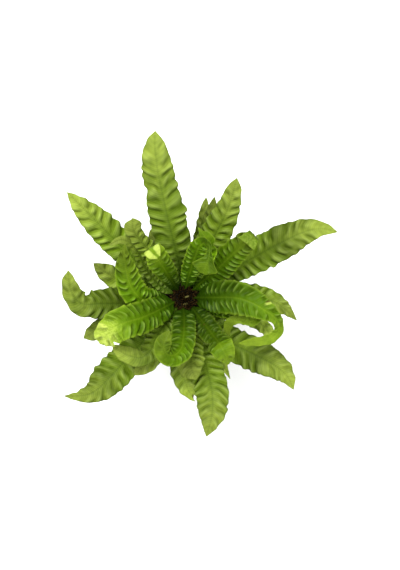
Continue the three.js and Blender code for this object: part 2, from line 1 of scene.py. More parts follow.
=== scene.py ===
"""Looks for a crisp-waved bird's nest fern that grows in a plain round nursery pot.

The fern is a rosette seen from straight above: pleated, strap-shaped fronds stand in the flank of a
short scaly rhizome. Every shape is worked out in millimetres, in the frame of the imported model, and
is scaled to metres when its mesh is made.
"""

import logging
import math
from dataclasses import dataclass, field
from enum import Enum
from typing import Optional, Sequence, Union

import bpy
import numpy as np
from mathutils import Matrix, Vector


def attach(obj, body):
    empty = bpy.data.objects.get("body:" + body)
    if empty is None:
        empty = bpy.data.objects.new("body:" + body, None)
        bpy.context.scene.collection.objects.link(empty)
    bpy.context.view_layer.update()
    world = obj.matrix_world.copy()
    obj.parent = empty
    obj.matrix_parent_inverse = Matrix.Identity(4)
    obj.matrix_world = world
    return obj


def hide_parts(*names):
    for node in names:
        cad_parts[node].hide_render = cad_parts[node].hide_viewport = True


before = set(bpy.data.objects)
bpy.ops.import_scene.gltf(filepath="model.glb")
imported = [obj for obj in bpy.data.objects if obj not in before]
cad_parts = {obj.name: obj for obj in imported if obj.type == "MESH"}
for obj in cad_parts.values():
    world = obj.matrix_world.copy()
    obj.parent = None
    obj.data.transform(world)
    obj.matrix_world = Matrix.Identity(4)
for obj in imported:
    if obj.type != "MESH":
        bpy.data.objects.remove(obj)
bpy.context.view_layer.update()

log = logging.getLogger("potted_fern")

MM = 0.001
GOLDEN_ANGLE = math.pi * (3 - math.sqrt(5))
BODY = "root"
# Keeps a division away from zero.
TINY = 1e-12
# A direction that no tube takes, so that its cross product with a tube's own never vanishes.
ASLANT = (0.31, 0.2, 0.93)

Number = Union[int, float]
Colour = tuple[float, float, float]
Point = tuple[float, float, float]


# Numbers and curves


def smooth(t: np.ndarray) -> np.ndarray:
    """A smooth step: 0 below 0, 1 above 1, and t squared times (3 - 2t) between."""
    u = np.clip(t, 0, 1)
    return u * u * (3 - 2 * u)


def unit(vectors: np.ndarray) -> np.ndarray:
    """Vectors over their own lengths, along the last axis."""
    return vectors / np.maximum(np.linalg.norm(vectors, axis=-1, keepdims=True), TINY)


def linear(red: int, green: int, blue: int) -> Colour:
    """A display colour as linear light: the sRGB curve undone.

    Args:
        red, green, blue: the display values, from 0 to 255.

    Returns:
        The three linear values, from 0 to 1.
    """
    shares = (value / 255 for value in (red, green, blue))
    return tuple(s / 12.92 if s <= 0.04045 else ((s + 0.055) / 1.055) ** 2.4 for s in shares)


def cubic(t: np.ndarray, start: np.ndarray, leave: np.ndarray, end: np.ndarray,
          reach: np.ndarray) -> np.ndarray:
    """A cubic Hermite span.

    Args:
        t: how far along the span, from 0 to 1.
        start, end: the values at its ends.
        leave, reach: the slopes there, for the whole span.

    Returns:
        The value at each t.
    """
    return (
        start * (1 + 2 * t) * (1 - t) ** 2
        + leave * t * (1 - t) ** 2
        + end * t**2 * (3 - 2 * t)
        + reach * t**2 * (t - 1)
    )


def hermite(at: np.ndarray, stations: np.ndarray, values: np.ndarray) -> np.ndarray:
    """A smooth curve through values at stations: a cubic Hermite in each span, whose slope at a
    station is the rise over the run between its two neighbours.

    Args:
        at: where to read the curve.
        stations: where its values are given, in rising order.
        values: the values.

    Returns:
        The curve's height at each place of `at`.
    """
    last = len(stations) - 1
    before = np.maximum(np.arange(last + 1) - 1, 0)
    after = np.minimum(np.arange(last + 1) + 1, last)
    slopes = (values[after] - values[before]) / (stations[after] - stations[before])
    k = np.clip(np.searchsorted(stations, at, side="right") - 1, 0, last - 1)
    span = stations[k + 1] - stations[k]
    t = np.clip((at - stations[k]) / span, 0, 1)
    return cubic(t, values[k], slopes[k] * span, values[k + 1], slopes[k + 1] * span)


def centripetal_curve(points: np.ndarray, samples: int) -> np.ndarray:
    """Places along a centripetal Catmull-Rom curve: between two points it is a cubic whose end
    slopes weigh the neighbouring chords by the square roots of their lengths.

    Args:
        points: the points that the curve passes through, one a row.
        samples: the places in each span.

    Returns:
        The places, one a row, from the first point to the last.
    """
    padded = np.vstack([2 * points[0] - points[1], points, 2 * points[-1] - points[-2]])
    steps = np.sqrt(np.linalg.norm(np.diff(padded, axis=0), axis=1))
    spans = len(points) - 1
    at = np.linspace(0, spans, samples * spans + 1)
    k = np.minimum(at.astype(int), spans - 1)
    t = (at - k)[:, None]
    p0, p1, p2, p3 = (padded[k + i] for i in range(4))
    d0, d1, d2 = (steps[k + i][:, None] for i in range(3))
    leave = ((p1 - p0) / d0 - (p2 - p0) / (d0 + d1) + (p2 - p1) / d1) * d1
    reach = ((p2 - p1) / d1 - (p3 - p1) / (d1 + d2) + (p3 - p2) / d2) * d1
    return cubic(t, p1, leave, p2, reach)


def evenly_spaced(path: np.ndarray, count: int) -> np.ndarray:
    """A path's places at equal steps of its length, by reading each coordinate against length.

    Args:
        path: the places along the path, one a row.
        count: how many places to return.

    Returns:
        The evenly spaced places, one a row.
    """
    length = np.concatenate([[0], np.cumsum(np.linalg.norm(np.diff(path, axis=0), axis=1))])
    at = np.linspace(0, length[-1], count)
    return np.stack([np.interp(at, length, path[:, axis]) for axis in range(3)], axis=1)


def ripple(x: np.ndarray, y: np.ndarray, seed: int, size: float) -> np.ndarray:
    """Gentle unevenness over a plane: four sine waves of random direction and phase, averaged.

    Args:
        x, y: the places.
        seed: picks the waves.
        size: the rough distance between two crests.

    Returns:
        Heights between -1 and 1.
    """
    random = np.random.default_rng(seed)
    angles = random.uniform(0, 2 * np.pi, 4)
    phases = random.uniform(0, 2 * np.pi, 4)
    rates = 2 * np.pi / size * random.uniform(0.7, 1.4, 4)
    waves = [
        np.sin(rate * (np.cos(angle) * x + np.sin(angle) * y) + phase)
        for rate, angle, phase in zip(rates, angles, phases)
    ]
    return sum(waves) / len(waves)


# Meshes


def ring_faces(rows: int, around: int) -> np.ndarray:
    """Quads between neighbouring rings of a tube whose points come ring by ring.

    Args:
        rows: how many rings.
        around: the points in a ring, which closes on itself.

    Returns:
        Four point numbers a row. The faces point outwards where the ring turns clockwise as seen
        looking along the rows.
    """
    row, column = np.meshgrid(np.arange(rows - 1), np.arange(around), indexing="ij")
    beside = (column + 1) % around
    quads = [row * around + column, row * around + beside, (row + 1) * around + beside,
             (row + 1) * around + column]
    return np.stack(quads, axis=-1).reshape(-1, 4)


def ladder_faces(first: int, around: int, facing: int) -> np.ndarray:
    """Quads that close the end of a flattened tube, between the two halves of its last ring.

    Args:
        first: the number of the ring's first point.
        around: the points in the ring, whose second half lies under its first half, reversed.
        facing: 1 for the tube's start and -1 for its end.

    Returns:
        Four point numbers a row.
    """
    near = np.arange(around // 2 - 1)
    far = around - 1 - near
    quads = np.stack([near, far, far - 1, near + 1], axis=-1)[:, ::facing]
    return first + quads


def over_and_under(over: np.ndarray, under: np.ndarray) -> np.ndarray:
    """A blade's rings: a row of the upper face from left to right, then the lower, right to left."""
    return np.concatenate([over, under[:, ::-1]], axis=1).reshape(-1, *over.shape[2:])


@dataclass
class Surface:
    """A mesh in the making: its points in millimetres, its faces, and values at its points."""

    points: np.ndarray
    faces: list[np.ndarray]
    values: dict[str, np.ndarray] = field(default_factory=dict)

    def to_object(self, name: str, material: bpy.types.Material) -> bpy.types.Object:
        """Makes the Blender object, at the origin, with smooth faces and one attribute a value.

        Args:
            name: the piece's name.
            material: its finish.

        Returns:
            The new object, linked to the scene.
        """
        mesh = bpy.data.meshes.new(name)
        corners = np.concatenate([f.ravel() for f in self.faces]).astype(np.int32)
        sizes = np.concatenate([np.full(len(f), f.shape[1], np.int32) for f in self.faces])
        mesh.vertices.add(len(self.points))
        mesh.vertices.foreach_set("co", (self.points * MM).astype(np.float32).ravel())
        mesh.loops.add(len(corners))
        mesh.loops.foreach_set("vertex_index", corners)
        mesh.polygons.add(len(sizes))
        starts = np.concatenate([[0], np.cumsum(sizes)[:-1]]).astype(np.int32)
        mesh.polygons.foreach_set("loop_start", starts)
        mesh.polygons.foreach_set("use_smooth", np.ones(len(sizes), bool))
        for key, value in self.values.items():
            layer = mesh.attributes.new(key, "FLOAT", "POINT")
            layer.data.foreach_set("value", value.astype(np.float32).ravel())
        mesh.update(calc_edges=True)
        mesh.materials.append(material)
        piece = bpy.data.objects.new(name, mesh)
        bpy.context.scene.collection.objects.link(piece)
        return piece


def hand_over(piece: bpy.types.Object, nodes: Sequence[str]) -> None:
    """Puts a finished piece in place of CAD nodes, on the part's one body.

    Args:
        piece: the finished piece.
        nodes: the CAD nodes that it stands for.
    """
    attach(piece, BODY)
    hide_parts(*nodes)
    log.info("%s: %d faces", piece.name, len(piece.data.polygons))


# Shader maths


class Socket:
    """A node's output, with Python's operators adding Math nodes."""

    def __init__(self, tree: "Tree", output: bpy.types.NodeSocket) -> None:
        """Wraps an output of a tree."""
        self.tree = tree
        self.output = output

    def _math(self, operation: str, *values: "Term") -> "Socket":
        """A Math node of one operation on the values."""
        return self.tree.node("ShaderNodeMath", {"operation": operation}, dict(enumerate(values)))

    def __add__(self, other: "Term") -> "Socket":
        """self + other."""
        return self._math("ADD", self, other)

    __radd__ = __add__

    def __sub__(self, other: "Term") -> "Socket":
        """self - other."""
        return self._math("SUBTRACT", self, other)

    def __rsub__(self, other: "Term") -> "Socket":
        """other - self."""
        return self._math("SUBTRACT", other, self)

    def __mul__(self, other: "Term") -> "Socket":
        """self * other."""
        return self._math("MULTIPLY", self, other)

    __rmul__ = __mul__

    def __truediv__(self, other: "Term") -> "Socket":
        """self / other."""
        return self._math("DIVIDE", self, other)

    def sine(self) -> "Socket":
        """The sine of self."""
        return self._math("SINE", self)

    def step(self, low: Number, high: Number) -> "Socket":
        """A smooth step from 0 at low to 1 at high; low may be the larger."""
        rising = (self - low) / (high - low)
        return self.tree.node(
            "ShaderNodeMapRange", {"interpolation_type": "SMOOTHSTEP"}, {"Value": rising})


Term = Union[Socket, Number]
Shade = Union[Socket, Colour]


class Tree:
    """A material's node tree, emptied, with one method that adds any node."""

    def __init__(self, name: str) -> None:
        """Makes the material with an empty tree.

        Args:
            name: the material's name.
        """
        self.material = bpy.data.materials.new(name)
        self.material.use_nodes = True
        self.nodes = self.material.node_tree.nodes
        self.links = self.material.node_tree.links
        self.nodes.clear()

    def _feed(self, socket: bpy.types.NodeSocket, value: object) -> None:
        """Links or sets one input.

        Args:
            socket: the input.
            value: a wrapped output, a colour or a number.
        """
        if isinstance(value, Socket):
            self.links.new(value.output, socket)
        elif isinstance(value, tuple) and socket.type == "RGBA":
            socket.default_value = (*value, 1.0)
        else:
            socket.default_value = value

    def node(self, kind: str, settings: dict[str, object], inputs: dict[object, object],
             output: Union[str, int] = 0) -> Socket:
        """Adds a node.

        Args:
            kind: the node's type.
            settings: its properties, which are set first.
            inputs: values or links, by socket name or number.
            output: the name or number of the output that is returned.

        Returns:
            The wrapped output.
        """
        node = self.nodes.new(kind)
        for key, value in settings.items():
            setattr(node, key, value)
        for key, value in inputs.items():
            self._feed(node.inputs[key], value)
        return Socket(self, node.outputs[output])

    def value(self, name: str) -> Socket:
        """A value that the mesh holds at its points, by name."""
        return self.node("ShaderNodeAttribute", {"attribute_name": name}, {}, "Fac")

    def place(self) -> Socket:
        """Object coordinates, in metres."""
        return self.node("ShaderNodeTexCoord", {}, {}, "Object")

    def noise(self, size_mm: float, detail: float = 2.0, rough: float = 0.5) -> Socket:
        """Noise from 0 to 1 on Object coordinates.

        Args:
            size_mm: the size of its lumps, roughly.
            detail: how many finer layers lie on them.
            rough: how strong each layer is beside the one before it.

        Returns:
            The noise.
        """
        return self.node("ShaderNodeTexNoise", {}, {
            "Vector": self.place(), "Scale": 1 / (size_mm * MM), "Detail": detail,
            "Roughness": rough}, "Fac")

    def blend(self, share: Term, first: Shade, second: Shade) -> Socket:
        """A Mix node on colours: first where share is 0, second where it is 1."""
        return self.node("ShaderNodeMix", {"data_type": "RGBA"}, {0: share, 6: first, 7: second}, 2)

    def shade(self, colour: Shade, gain: Socket) -> Socket:
        """A colour times a value, by Vector Math."""
        return self.node("ShaderNodeVectorMath", {"operation": "SCALE"}, {0: colour, "Scale": gain})

    def bump(self, height: Socket, depth_mm: float, strength: float = 1.0) -> Socket:
        """A bumped normal: height 1 stands depth_mm above height 0."""
        return self.node("ShaderNodeBump", {}, {
            "Strength": strength, "Distance": depth_mm * MM, "Height": height}, "Normal")

    def finish(self, colour: Socket, roughness: Term, shine: float,
               normal: Optional[Socket] = None) -> bpy.types.Material:
        """Ends the tree with the one shader that every finish has.

        Args:
            colour, roughness: what changes over the surface.
            shine: the specular level, the same all over.
            normal: the bumped normal, where there is one.

        Returns:
            The material.
        """
        inputs = {"Base Color": colour, "Roughness": roughness, "Specular IOR Level": shine}
        if normal is not None:
            inputs["Normal"] = normal
        shader = self.node("ShaderNodeBsdfPrincipled", {}, inputs)
        surface = self.nodes.new("ShaderNodeOutputMaterial").inputs["Surface"]
        self.links.new(shader.output, surface)
        return self.material


# Finishes


@dataclass(frozen=True)
class LeafFinish:
    """A frond's waxy skin: dark beside the rhizome, partly its own deep green and partly painted
    shade, yellower towards the tip, with a painted highlight on the crests of its pleats, painted
    shade on their sides towards the rhizome and in their troughs, and fine veins that follow the
    pleats.

    A colour's share says how much of it shows at most. The midrib's share goes from the first number
    at the stalk to the second at the tip.
    """

    name: str
    # Partly own deep green, partly painted shade beside the rhizome and on the pleats' flanks.
    deep: Colour
    mature: Colour
    tip: Colour
    # The colour of the painted highlight on the crests of the pleats.
    crest: Colour
    beneath: Colour
    rib: Colour
    rib_shares: tuple[float, float]
    painted_highlight_start: float
    painted_highlight_share: float
    flank_painted_shade: float
    trough_shade: float
    # A pale rim of painted highlight on young fronds, a darker rim on mature ones.
    edge: Colour
    edge_share: float
    roughness: float
    shine: float = 0.05
    beneath_share: float = 0.8
    bleached: Colour = linear(206, 222, 104)
    bleached_share: float = 0.62
    scar: Colour = linear(62, 58, 14)
    grows_between: tuple[float, float] = (0.05, 0.6)
    ripens_between: tuple[float, float] = (0.55, 1.0)
    patch_size: float = 13.0
    grain_size: float = 2.4
    vein_pitch: float = 2.8
    vein_gain: float = 0.16
    broad_vein: float = 2.7
    relief: float = 0.4

    def material(self) -> bpy.types.Material:
        """Builds the material.

        Returns:
            The material, which reads the values that Frond.surface leaves on the mesh.
        """
        tree = Tree(self.name)
        patches = tree.noise(self.patch_size, 3.0)
        grain = tree.noise(self.grain_size)
        veins = self._veins(tree, grain)
        crest = tree.value("crest")
        gain = 1 - self.trough_shade * crest.step(0.1, -0.8)
        gain = gain * (0.84 + 0.32 * patches) * (0.94 + 0.12 * grain) * (1 + self.vein_gain * veins)
        # The tone along the frond: partly its own lightness, partly painted light and shade.
        skin = tree.shade(self._pigment(tree, crest, patches, grain), gain * tree.value("tone"))
        return tree.finish(
            colour=tree.blend(tree.value("scar"), skin, self.scar),
            roughness=self.roughness + 0.14 * grain + 0.05 * veins,
            shine=self.shine,
            normal=tree.bump(0.35 * veins + 0.4 * grain + 0.9 * patches, self.relief, 0.8),
        )

    def _pigment(self, tree: Tree, crest: Socket, patches: Socket, grain: Socket) -> Socket:
        """The skin's colour before its gains: colours laid one over the other, from deep through
        bleached to the painted shade on the pleats' flanks, with a painted highlight on their crests.

        Args:
            tree: the material's tree.
            crest: how high on its pleat a point is, from -1 to 1.
            patches, grain: broad and fine noise, which makes the colours' borders uneven.

        Returns:
            The colour.
        """
        along = tree.value("along")
        grown = (along + 0.3 * patches - 0.15).step(*self.grows_between)
        ripe = (along + 0.35 * patches - 0.17).step(*self.ripens_between)
        bleach = (tree.value("bleach") + 0.8 * grain - 0.4).step(0.1, 1.2)
        near, far = self.rib_shares
        # Dark beside the rhizome: partly own deep green, partly painted shade.
        skin = tree.blend(grown, self.deep, self.mature)
        for share, colour in (
            (ripe, self.tip),
            (tree.value("beneath") * self.beneath_share, self.beneath),
            # Painted highlight on the crests of the pleats.
            (crest.step(self.painted_highlight_start, 1.1) * self.painted_highlight_share, self.crest),
            (tree.value("rib") * (near + (far - near) * along), self.rib),
            # Pale rim of painted highlight on young fronds, darker rim on mature ones.
            (tree.value("edge") * self.edge_share, self.edge),
            (bleach * self.bleached_share, self.bleached),
            # Painted shade on the side of each pleat that faces the rhizome.
            (tree.value("flank").step(-0.6, 0.8) * self.flank_painted_shade, self.deep),
        ):
            skin = tree.blend(share, skin, colour)
        return skin

    def _veins(self, tree: Tree, grain: Socket) -> Socket:
        """Veins: a sine of the distance along the blade, which every vein keeps, on top of a second
        one of another pitch, so that no two veins look alike.

        Args:
            tree: the material's tree.
            grain: fine noise, which makes the veins uneven.

        Returns:
            Their height, from -1 to 1.
        """
        distance = tree.value("vein") + 0.5 * grain
        fine = (distance * (2 * math.pi / self.vein_pitch)).sine()
        broad = (distance * (2 * math.pi / (self.vein_pitch * self.broad_vein))).sine()
        return 0.6 * fine + 0.4 * broad


@dataclass(frozen=True)
class ScaleFinish:
    """The papery scales of the rhizome: blackish brown, rust at their tips, streaked lengthwise."""

    name: str = "rhizome_scales"
    root: Colour = linear(24, 18, 4)
    tip: Colour = linear(76, 54, 18)
    streak_size: float = 0.6

    def material(self) -> bpy.types.Material:
        """Builds the material.

        Returns:
            The material, which reads how far along its scale a point is.
        """
        tree = Tree(self.name)
        streaks = tree.noise(self.streak_size, 3.0, 0.7)
        rust = tree.value("along").step(0.2, 1.0) * (0.4 + 0.9 * streaks)
        skin = tree.blend(rust, self.root, self.tip)
        skin = tree.shade(skin, (0.6 + 0.8 * streaks) * tree.value("tone"))
        return tree.finish(skin, 0.62 + 0.25 * streaks, 0.15, tree.bump(streaks, 0.25))


@dataclass(frozen=True)
class MixFinish:
    """Damp potting mix: bark chips from tan to near black over dark peat, with a few pale grains."""

    name: str = "potting_mix"
    peat: Colour = linear(38, 27, 20)
    bark: Colour = linear(92, 64, 44)
    grit: Colour = linear(176, 166, 148)
    grit_from: float = 0.96
    chip_size: float = 4.0
    crumb_size: float = 0.7

    def material(self) -> bpy.types.Material:
        """Builds the material.

        Returns:
            The material, which reads a random share for each granule.
        """
        tree = Tree(self.name)
        share = tree.value("tone")
        coarse = tree.noise(self.chip_size, 4.0, 0.6)
        fine = tree.noise(self.crumb_size, 3.0, 0.65)
        skin = tree.blend(share * (0.4 + 0.9 * coarse), self.peat, self.bark)
        skin = tree.blend(share.step(self.grit_from - 0.005, self.grit_from + 0.005), skin, self.grit)
        skin = tree.shade(skin, 0.55 + 0.9 * fine)
        return tree.finish(skin, 0.72 + 0.22 * fine, 0.3, tree.bump(0.6 * fine + coarse, 0.6))


@dataclass(frozen=True)
class PlasticFinish:
    """Moulded polypropylene: near black, finely grained, scuffed paler in patches, dusty low down."""

    name: str = "moulded_plastic"
    body: Colour = linear(37, 40, 44)
    scuff: Colour = linear(74, 77, 80)
    dust: Colour = linear(96, 84, 68)
    dusty_below: float = 26.0
    grain_size: float = 0.5
    patch_size: float = 24.0
    scratch_size: float = 3.0

    def material(self) -> bpy.types.Material:
        """Builds the material.

        Returns:
            The material.
        """
        tree = Tree(self.name)
        grain = tree.noise(self.grain_size, 2.0, 0.6)
        patches = tree.noise(self.patch_size, 4.0, 0.6)
        scratches = tree.noise(self.scratch_size, 5.0, 0.7)
        height = tree.node("ShaderNodeSeparateXYZ", {}, {0: tree.place()}, "Z") / MM
        dusty = height.step(self.dusty_below, 0) * patches.step(0.4, 0.75)
        skin = tree.blend((patches * scratches).step(0.28, 0.5) * 0.45, self.body, self.scuff)
        skin = tree.shade(tree.blend(dusty * 0.4, skin, self.dust), 0.9 + 0.2 * grain)
        roughness = 0.4 + 0.2 * patches + 0.1 * grain
        return tree.finish(skin, roughness, 0.45, tree.bump(grain, 0.12, 0.6))


@dataclass(frozen=True)
class FuzzFinish:
    """A rolled young frond: olive green under tan scales, which thicken towards the roll."""

    name: str = "crozier_skin"
    green: Colour = linear(80, 84, 32)
    tan: Colour = linear(124, 102, 58)
    dark: Colour = linear(70, 46, 28)
    fleck_size: float = 0.9

    def material(self) -> bpy.types.Material:
        """Builds the material.

        Returns:
            The material, which reads how far along the crozier a point is.
        """
        tree = Tree(self.name)
        flecks = tree.noise(self.fleck_size, 3.0, 0.7)
        scaly = tree.value("along").step(0.1, 0.9) * (0.3 + flecks)
        skin = tree.blend(scaly, self.green, self.tan)
        skin = tree.blend(flecks.step(0.52, 0.66) * 0.7, skin, self.dark)
        return tree.finish(skin, 0.6 + 0.3 * flecks, 0.3, tree.bump(flecks, 0.35))


@dataclass(frozen=True)
class PaperFinish:
    """The studio's floor: matt, nearly white paper."""

    name: str = "studio_paper"
    white: Colour = (0.95, 0.95, 0.95)
    fibre_size: float = 3.0

    def material(self) -> bpy.types.Material:
        """Builds the material.

        Returns:
            The material.
        """
        tree = Tree(self.name)
        skin = tree.shade(self.white, 0.985 + 0.03 * tree.noise(self.fibre_size, 3.0))
        return tree.finish(skin, 0.9, 0.1)


# Fronds


@dataclass(frozen=True)
class Pleating:
    """The habit of a frond's pleats.

    The side of a pleat that faces the rhizome is steeper than the other, by `lean`. Crests are broad
    where `breadth` is above 0, and narrow ridges where it is below. Over the half-width, the pleats
    rise between two shares of it and keep `margin` of their height at the margin, which they bulge by
    `scallop`. No two are alike: their height varies by `uneven`, and they stray by `stray` radians.
    """

    lean: float
    breadth: float
    rise: tuple[float, float]
    margin: float
    scallop: float
    uneven: float
    stray: float


class Age(Enum):
    """How old a frond is, which sets its pleats and its colours."""

    MATURE = "frond_mature"
    YOUNG = "frond_young"


@dataclass(frozen=True)
class Stance:
    """Where a frond's stalk leaves the rhizome: distance from its axis, height, rise in degrees."""

    radius: float
    height: float
    rise: float


class Tier(Enum):
    """The four tiers of the rosette, from the oldest fronds to the youngest."""

    LOW = Stance(17.5, 104, 24)
    OUTER = Stance(16.5, 109, 38)
    MIDDLE = Stance(15, 115, 54)
    INNER = Stance(13, 121, 64)


PLEATINGS = {
    Age.MATURE: Pleating(
        lean=0.1, breadth=0.1, rise=(0.03, 0.5), margin=0.9, scallop=0.03, uneven=1.4, stray=3.2),
    Age.YOUNG: Pleating(
        lean=0.2, breadth=-0.5, rise=(0.1, 0.45), margin=0.3, scallop=0.02, uneven=2.2, stray=3.2),
}

FINISHES = {
    Age.MATURE: LeafFinish(
        name="mature_leaf",
        # Partly own deep green, partly painted shade.
        deep=linear(40, 62, 4),
        mature=linear(80, 102, 12),
        tip=linear(126, 142, 50),
        # Painted highlight on the pleats' crests.
        crest=linear(146, 162, 84),
        beneath=linear(86, 106, 26),
        rib=linear(50, 72, 8),
        rib_shares=(0.8, 0.3),
        # Painted highlight on the crests, then painted shade on the flanks and in the troughs.
        painted_highlight_start=-0.5,
        painted_highlight_share=0.28,
        flank_painted_shade=0.36,
        trough_shade=0.18,
        edge=linear(66, 82, 18),
        edge_share=0.3,
        roughness=0.44,
    ),
    Age.YOUNG: LeafFinish(
        name="young_leaf",
        # Partly own deep green, partly painted shade.
        deep=linear(38, 65, 3),
        mature=linear(76, 108, 4),
        tip=linear(124, 149, 32),
        # Painted highlight on the pleats' crests.
        crest=linear(124, 148, 60),
        beneath=linear(90, 124, 8),
        rib=linear(118, 144, 30),
        rib_shares=(0.05, 0.7),
        # Painted highlight on the crests, then painted shade on the flanks and in the troughs.
        painted_highlight_start=0.2,
        painted_highlight_share=0.42,
        flank_painted_shade=0.15,
        trough_shade=0.25,
        # A pale rim of painted highlight.
        edge=linear(144, 168, 48),
        edge_share=0.4,
        vein_gain=0.07,
        roughness=0.42,
    ),
}


@dataclass(frozen=True)
class Blemish:
    """A spot on a frond: where it is, by its share of the length and of the half-width (below 0 on
    the left), its radius in millimetres along and across, whether it is a scar or bleached, and how
    strongly it shows."""

    share: float
    across: float
    reach: tuple[float, float]
    scarred: bool = False
    strength: float = 1.0


@dataclass(frozen=True)
class Notch:
    """A bite out of a margin, or a corner that stands out of it where its depth is below 0: its share
    of the length, its side (-1 left, 1 right), its depth and its reach along the margin in mm."""

    share: float
    side: int
    depth: float
    reach: float


@dataclass(frozen=True)
class Frames:
    """Evenly spaced frames along a midrib, one a row: place, side, upper face, how sharply the midrib
    turns nearby, and how sharply it turns towards each margin (1 a millimetre)."""

    length: float
    place: np.ndarray
    side: np.ndarray
    face: np.ndarray
    sharpest: np.ndarray
    to_left: np.ndarray
    to_right: np.ndarray

    def at(self, share: np.ndarray, what: np.ndarray) -> np.ndarray:
        """Reads one of the values between the two frames nearest to each share.

        Args:
            share: shares of the length.
            what: the value, by frame.

        Returns:
            The value at each share.
        """
        along = np.clip(share, 0, 1) * (len(self.place) - 1)
        i = np.minimum(along.astype(int), len(self.place) - 2)
        t = along - i
        if what.ndim == 2:
            t = t[..., None]
        return what[i] * (1 - t) + what[i + 1] * t


@dataclass(frozen=True)
class Frond:
    """One frond: a strap-shaped blade with pleats across it, on a short stalk.

    The table gives its tier, the azimuth of its stalk in degrees, its full width at six shares of its
    length, the pitch and height of its pleats, the fold of its halves in degrees, the points that its
    midrib passes through, its age, how light it is at four shares of its length (partly its own tone
    and partly painted light and shade), the share of its length over which the pleats fade towards
    the tip, where along it the blade folds over into a flap (its painted light and shade steps
    there), half the width of its very tip, how far its colour turns to that of a tip (1 fully), its
    blemishes and the notches of its margins.

    The shades, how light a frond is, weren't chosen by hand: nearly all of the 128 come from a fit to
    how light the photo is at those four shares, and were then rounded to tenths.
    """

    name: str
    tier: Tier
    azimuth: float
    widths: tuple[float, ...]
    pitch: float
    pleat: float
    fold: float
    midrib: tuple[Point, ...]
    age: Age
    shades: tuple[float, ...]
    fade: float = 0.2
    crease: Optional[float] = None
    tip: float = 0.5
    ripeness: float = 1.0
    blemishes: tuple[Blemish, ...] = ()
    notches: tuple[Notch, ...] = ()

    # The stalk: its sizes in millimetres, and the shares of the length where it ends and fades.
    STALK_SINK = 6.0
    STALK_HALF_WIDTH = 1.9
    STALK_DEPTH = 1.2
    STALK_END = 0.07
    STALK_FADE = 0.2
    # The shares of the length that the table's widths and shades belong to.
    WIDTH_SHARES = (0.15, 0.3, 0.5, 0.7, 0.85, 0.95)
    SHADE_SHARES = (0.15, 0.4, 0.65, 0.9)
    CREASE_HALF = 0.015
    # The pleats: where they rise, how they slant, crowd and wander, and where the margin starts.
    PLEAT_RISE = 0.16
    PLEAT_SLANT = (0.25, 0.75)
    SLANT_BEND = 1.3
    PLEAT_CROWDING = 1.3
    PLEAT_LIMITS = (0.2, 1.6)
    HEIGHT_WANDER = 1.5
    PHASE_WANDER = 3.0
    MARGIN_START = 0.65
    HALVES_APART = 40.0
    WANDER_ACROSS = 0.9
    # Sharp bends: how the inner margin and the pleats give way near them.
    TURN_ROOM = 0.75
    TURN_REACH = 3
    CALM_RADIUS = 11.0
    LEAST_HALF_WIDTH = 0.5
    # The frames along the midrib.
    FRAME_STEPS = 96
    SPAN_STEPS = 40
    LEVELLING = 0.25
    # The blade's section, in millimetres or shares of the half-width and the length.
    BLADE_THICKNESS = 0.6
    MARGIN_THINNING = 0.55
    RIB_DEPTH = 1.3
    RIB_HALF_WIDTH = 1.1
    RIB_THINNING = 0.4
    GROOVE = 0.5
    EDGE_START = 0.82
    EDGE_FROM = 0.2
    LEAST_FACING = 0.3
    # The grid of points.
    ROWS_PER_PLEAT = 14
    COLUMNS = 29
    COLUMN_CROWDING = 1.25
    # The slight waves of the margins, in millimetres and shares of the length.
    WAVE_LENGTH = 14.0
    WAVE_DEPTH = 1.2
    WAVE_RISE = (0.15, 0.2)
    WAVE_FALL = 0.1
    WAVES_APART = 60.0
    # Where a blemish is still full and where it ends, by its radius.
    SPOT_RIM = (0.4, 1.6)

    def midrib_places(self) -> np.ndarray:
        """The midrib: a centripetal curve from inside the rhizome, out of its stalk's mouth and
        through the table's points.

        Returns:
            Evenly spaced places, one a row, from the stalk's foot to the tip.
        """
        stance = self.tier.value
        azimuth, rise = math.radians(self.azimuth), math.radians(stance.rise)
        level = np.array([math.cos(azimuth), math.sin(azimuth), 0])
        outward = level * math.cos(rise) + np.array([0, 0, math.sin(rise)])
        mouth = level * stance.radius + np.array([0, 0, stance.height])
        points = np.vstack([mouth - outward * self.STALK_SINK, mouth, np.array(self.midrib, float)])
        return evenly_spaced(centripetal_curve(points, self.SPAN_STEPS), self.FRAME_STEPS + 1)

    def frames(self) -> Frames:
        """Carries a side vector along the midrib without twisting it, eased towards level wherever
        the midrib isn't upright; the face is side x forward.

        Returns:
            The frames.
        """
        place = self.midrib_places()
        steps = np.linalg.norm(np.diff(place, axis=0), axis=1)
        ahead = np.vstack([place[1:], place[-1:]])
        behind = np.vstack([place[:1], place[:-1]])
        forward = unit(ahead - behind)
        levels = np.cross(forward, [0.0, 0.0, 1.0])
        flatness = np.linalg.norm(levels, axis=1)
        side = np.zeros_like(place)
        carried = levels[0]
        for i, way in enumerate(forward):
            carried = unit(carried - way * (carried @ way))
            level = levels[i] / max(flatness[i], TINY)
            level = level * (1 if level @ carried >= 0 else -1)
            share = self.LEVELLING * flatness[i] ** 2
            carried = unit(carried * (1 - share) + level * share)
            side[i] = carried
        turn = np.vstack([np.diff(forward, axis=0), np.zeros((1, 3))]) / steps.mean()
        sideways = np.einsum("ij,ij->i", turn, side)
        return Frames(
            length=float(steps.sum()),
            place=place,
            side=side,
            face=unit(np.cross(side, forward)),
            sharpest=self._nearby_peak(np.linalg.norm(turn, axis=1)),
            to_left=self._nearby_peak(-sideways),
            to_right=self._nearby_peak(sideways),
        )

    def _nearby_peak(self, values: np.ndarray) -> np.ndarray:
        """The largest value within TURN_REACH frames of each frame.

        Args:
            values: a value for each frame.

        Returns:
            The largest one near each frame.
        """
        reach = self.TURN_REACH
        padded = np.pad(values, reach, mode="edge")
        return np.lib.stride_tricks.sliding_window_view(padded, 2 * reach + 1).max(axis=1)

